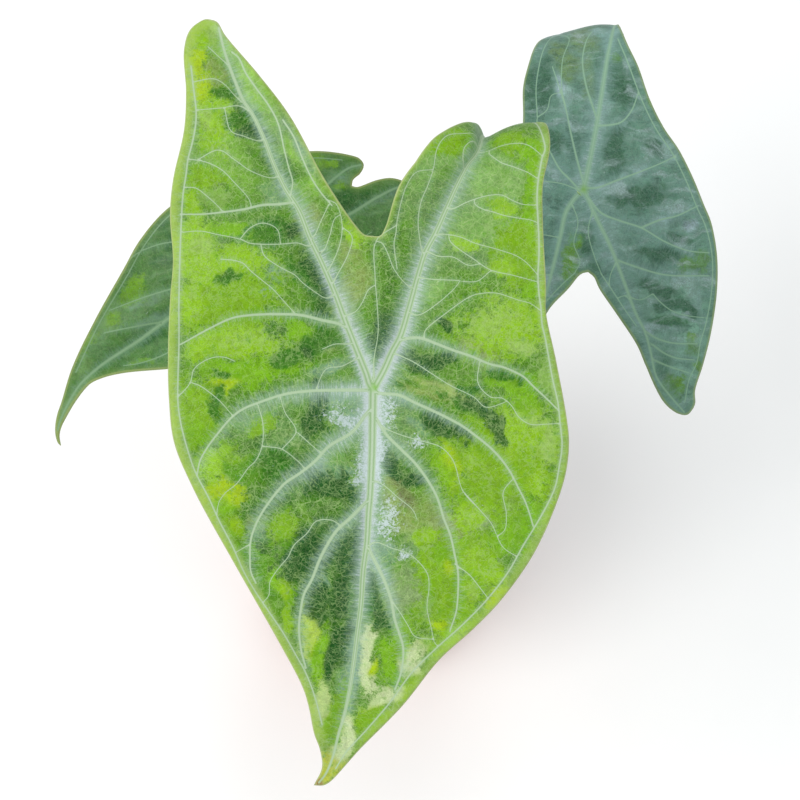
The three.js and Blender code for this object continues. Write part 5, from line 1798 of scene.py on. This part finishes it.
right_veins = [
    vein([(583.6, 190), (592, 150), (598, 117), (603, 85), (607, 58), (609, 30), (605, -10), (593, -50),
          (582, -84)],
         (0.95, 0.4), (4.0, 4.0), (0.8, 0.5)),
    vein([(583.6, 189.5), (596, 217), (611, 248), (624, 282), (636, 314), (645, 332), (651, 354), (656, 376),
          (666, 391), (684, 412)], (0.75, 0.28), (4.0, 4.0), (0.75, 0.5)),
    vein([(583.6, 189.5), (575, 198), (566, 212), (560, 238), (551, 275), (540, 315), (527, 360), (515, 396)],
         (0.8, 0.3), (2.6, 2.6), (0.65, 0.4)),
]
right_side_lines = [
    [(586, 194), (601, 213), (620, 221), (641, 228), (665, 242), (689, 251), (709, 253)],
    [(641, 228), (660, 220), (677, 216), (698, 206)],
    [(584, 188), (597, 188), (616, 181), (640, 172), (662, 163), (676, 156)],
    [(619, 261), (639, 268), (665, 275), (709, 276)],
    [(645, 331), (656, 338), (672, 343), (697, 344)],
    [(653, 345), (664, 353), (676, 358), (694, 360)],
    [(654, 360), (668, 366), (689, 373)],
    [(599, 126), (612, 125), (622, 122), (632, 110), (638, 94)],
    [(596, 117), (591, 102), (586, 86), (582, 60), (583, 44), (588, 20)],
    [(584, 186), (576, 156), (570, 130), (566, 110), (560, 90), (552, 66)],
    [(580, 191), (568, 178), (560, 170), (551, 154), (540, 132)],
]
right_veins += [vein(line, (0.36, 0.16), (3.2, 3.2), (0.62, 0.3)) for line in right_side_lines]
right_edge_lines = [
    [(617, 36), (621, 46), (626, 58), (643, 103), (657, 131), (672, 153), (686, 181), (697, 208), (706, 228),
     (712, 256), (712, 286), (706, 323), (700, 344), (697, 362), (689, 380), (685, 402)],
    [(519, 376), (501, 372), (499, 330), (507, 271), (519, 211), (532, 160), (537, 120), (536, 90), (539, 62),
     (544, 32), (552, -2)],
    [(575, 273), (562, 285), (545, 304), (529, 331), (517, 366)],
    [(601, 274), (609, 286), (624, 309), (636, 326)],
]
right_veins += [vein(line, (0.2, 0.16), (1.4, 1.4), (0.35, 0.25)) for line in right_edge_lines]
right_cross_lines = [
    [(653, 294), (660, 302), (672, 311), (688, 316), (706, 318)],
    [(566, 108), (562, 90), (562, 60), (566, 30)], [(578, 190), (562, 184), (540, 181)],
    [(537, 118), (547, 110), (551, 96)], [(560, 238), (540, 235), (516, 240)],
    [(551, 275), (530, 275), (506, 282)], [(540, 315), (520, 318), (500, 325)],
    [(592, 212), (588, 232), (594, 256)], [(572, 204), (578, 222), (574, 244), (580, 262)],
    [(616, 262), (610, 276), (609, 286)], [(628, 296), (640, 300), (653, 294)],
    [(632, 302), (624, 296), (618, 298)],
]
right_veins += [vein(line, *TERTIARY) for line in led_on(right_cross_lines, right_veins)]

right_soft_patches = [
    ((112, 158, 138), [(640, 240, 60, 80, 0), (550, 200, 40, 90, 0)]),
    ((136, 186, 160), [(680, 350, 34, 64, 0), (660, 300, 34, 28, 0)]),
    ((152, 188, 176), [
        (665, 224, 30, 12, -12), (632, 174, 18, 9, -15), (605, 195, 20, 10, 20), (667, 148, 18, 14, 0),
        (640, 268, 24, 8, 10), (610, 232, 12, 26, -25), (634, 292, 20, 10, 40), (690, 290, 12, 20, 0),
        (675, 330, 26, 7, 5), (602, 110, 8, 40, 10), (566, 100, 7, 22, -15), (626, 120, 16, 6, -30),
        (655, 305, 14, 8, 30),
    ]),
    ((196, 218, 230), [
        (662, 219, 24, 7, -10), (634, 174, 13, 6, -20), (664, 146, 11, 5, 0), (600, 190, 10, 5, -20),
        (668, 329, 18, 5, 8), (655, 333, 7, 5, 0), (559, 88, 6, 13, -20), (693, 222, 9, 5, -30),
    ]),
    # painted highlight: a pale teal-white sheen of reflected light on the midrib near the rolled tip
    ((158, 204, 194), [(609, 32, 11, 22, 0), (596, 20, 7, 9, 0)]),
    ((118, 152, 88), [
        (572, 66, 18, 14, -20), (552, 50, 12, 18, 0), (580, 36, 16, 20, 0), (588, 90, 8, 14, 0),
    ]),
]
right_lime_patches = [
    ((108, 160, 84), [
        (702, 262, 7, 12, 0), (692, 345, 10, 9, 0), (655, 108, 5, 10, -20), (675, 385, 10, 14, 0),
        (620, 60, 6, 8, 0), (690, 268, 10, 7, 0),
    ]),
    ((112, 168, 44), [
        (573, 255, 10, 26, 20), (690, 337, 8, 6, 0), (679, 384, 7, 10, 0), (700, 365, 5, 8, 0),
    ]),
]
right_deep_patches = [
    ((60, 108, 78), [
        (538, 92, 10, 26, 0), (590, 250, 7, 20, -10), (614, 150, 12, 22, 10), (640, 200, 26, 8, -10),
        (655, 150, 9, 9, 0), (550, 140, 10, 10, 0), (660, 255, 20, 7, 12), (680, 240, 12, 6, 10),
        (625, 88, 12, 22, -20), (660, 290, 16, 7, 30), (676, 306, 16, 6, 15), (575, 140, 8, 20, 0),
    ]),
    ((70, 124, 84), [
        (585, 235, 7, 16, 0), (668, 322, 14, 5, 0), (662, 366, 8, 12, -20), (600, 60, 6, 12, 0),
    ]),
]

right_leaf = {
    "spacing": 3.1, "seed": 37, "keel": 1.2, "rounded": [(688, 417)],
    "outline": list(right_margins.values()),
    "veins": right_veins, "ribs": right_cad_ribs, "side_ribs": right_cad_side_ribs,
    "depth": right_depth, "relief": right_relief,
    "roll": {"line": (587.2, 68.6), "away": (-0.32, -0.947), "radius": 58, "slope": 0.4, "turn": 1.3,
             "right_of": 0},
    "base": (106, 152, 128), "soft_patches": right_soft_patches, "lime_patches": right_lime_patches,
    "deep_patches": right_deep_patches, "band": edge_band(1.4, 0.3), "painted_glint": spots([]),
    "junction": RIGHT_JUNCTION, "petiole_turn": 30,
    "petiole": [(6, 3.4, 135), (18, 8, 190), (49, 17, 238), (74.5, 23, 268)],
}
silver_tint = {
    "vivid": 1.0, "streaky": 0.6, "blur": 0.55, "groove": 0.15, "knot": (136, 190, 84),
    "cloud": (128, 168, 158), "cloudy": 0.5, "fleck": (60, 104, 84), "hair": (192, 214, 216),
    "band": (110, 150, 100), "net": (126, 160, 140), "halo": (142, 180, 172), "ribs": (158, 200, 166),
    "furrow": (126, 170, 134), "crest": (176, 208, 180), "rim": (166, 190, 132), "edge": 1.0,
}
silver_top, silver_under = blade_looks("silver_blade", silver_tint, (120, 150, 114))
silver_rib = petiole_material("silver_ribs", (164, 188, 142), (136, 166, 112), (156, 176, 128))
silver_petiole = petiole_material("silver_petiole", (156, 184, 124), (110, 148, 88), (134, 112, 92))
right_looks = (silver_top, silver_under, silver_rib)
leaf_pieces("right_leaf", right_leaf, "leaf_silver", "leaf_right", right_looks, silver_petiole)


# Floor, light and camera: a plain pale floor, one wide soft lamp as the window with two weaker ones to fill
# the shadows and light the far side, and a long lens at the photograph's angle.

FLOOR_HALF = 30
LENS = 150


def floor_material(shade):
    shader = Shader("pale_floor")
    cloud = shader.noise(shader.place(), 6, 3, 0.5)
    base = shader.mix(shader.ramp(cloud, 0.3, 0.7), color(*shade), color(*[c - 3 for c in shade]))
    return shader.finish(Base_Color=base, Roughness=0.9, Specular_IOR_Level=0.2)


floor_mesh = bpy.data.meshes.new("floor")
floor_corners = [(FLOOR_HALF * x, FLOOR_HALF * y, 0) for x, y in ((-1, -1), (1, -1), (1, 1), (-1, 1))]
floor_mesh.from_pydata(floor_corners, [], [(0, 1, 2, 3)])
floor_mesh.materials.append(floor_material((244, 244, 243)))
add_object("floor", floor_mesh)


def lamp(name, place, aim, size, watts, shade):
    light = bpy.data.lights.new(name, "AREA")
    light.shape = "DISK"
    light.size = size
    light.energy = watts
    light.color = shade
    holder = add_object(name, light)
    holder.location = place
    holder.rotation_euler = (Vector(aim) - Vector(place)).to_track_quat("-Z", "Y").to_euler()


plant_middle = (0.01, -0.06, 0.3)
lamp("window_light", (-1.5, -1.3, 2.5), plant_middle, 2.0, 62, (1.0, 0.995, 0.98))
lamp("fill_light", (1.8, -1.5, 1.6), plant_middle, 2.0, 12, (0.95, 0.98, 1.0))
lamp("back_light", (0.3, 1.9, 2.0), plant_middle, 1.6, 13, (1.0, 1.0, 1.0))
world = bpy.data.worlds.new("studio")
world.use_nodes = True
world.node_tree.nodes["Background"].inputs["Color"].default_value = (0.94, 0.97, 1.0, 1)
world.node_tree.nodes["Background"].inputs["Strength"].default_value = 0.66
bpy.context.scene.world = world
bpy.context.scene.view_settings.view_transform = "Standard"

lens = bpy.data.cameras.new("photo_view")
lens.lens = LENS
lens.sensor_width = 36
lens.clip_end = 100
camera = add_object("photo_view", lens)
camera.location = [float(c) * MM for c in view_aim + view_near * EYE_DISTANCE]
camera.rotation_euler = Vector(-view_near).to_track_quat("-Z", "Y").to_euler()
bpy.context.scene.camera = camera
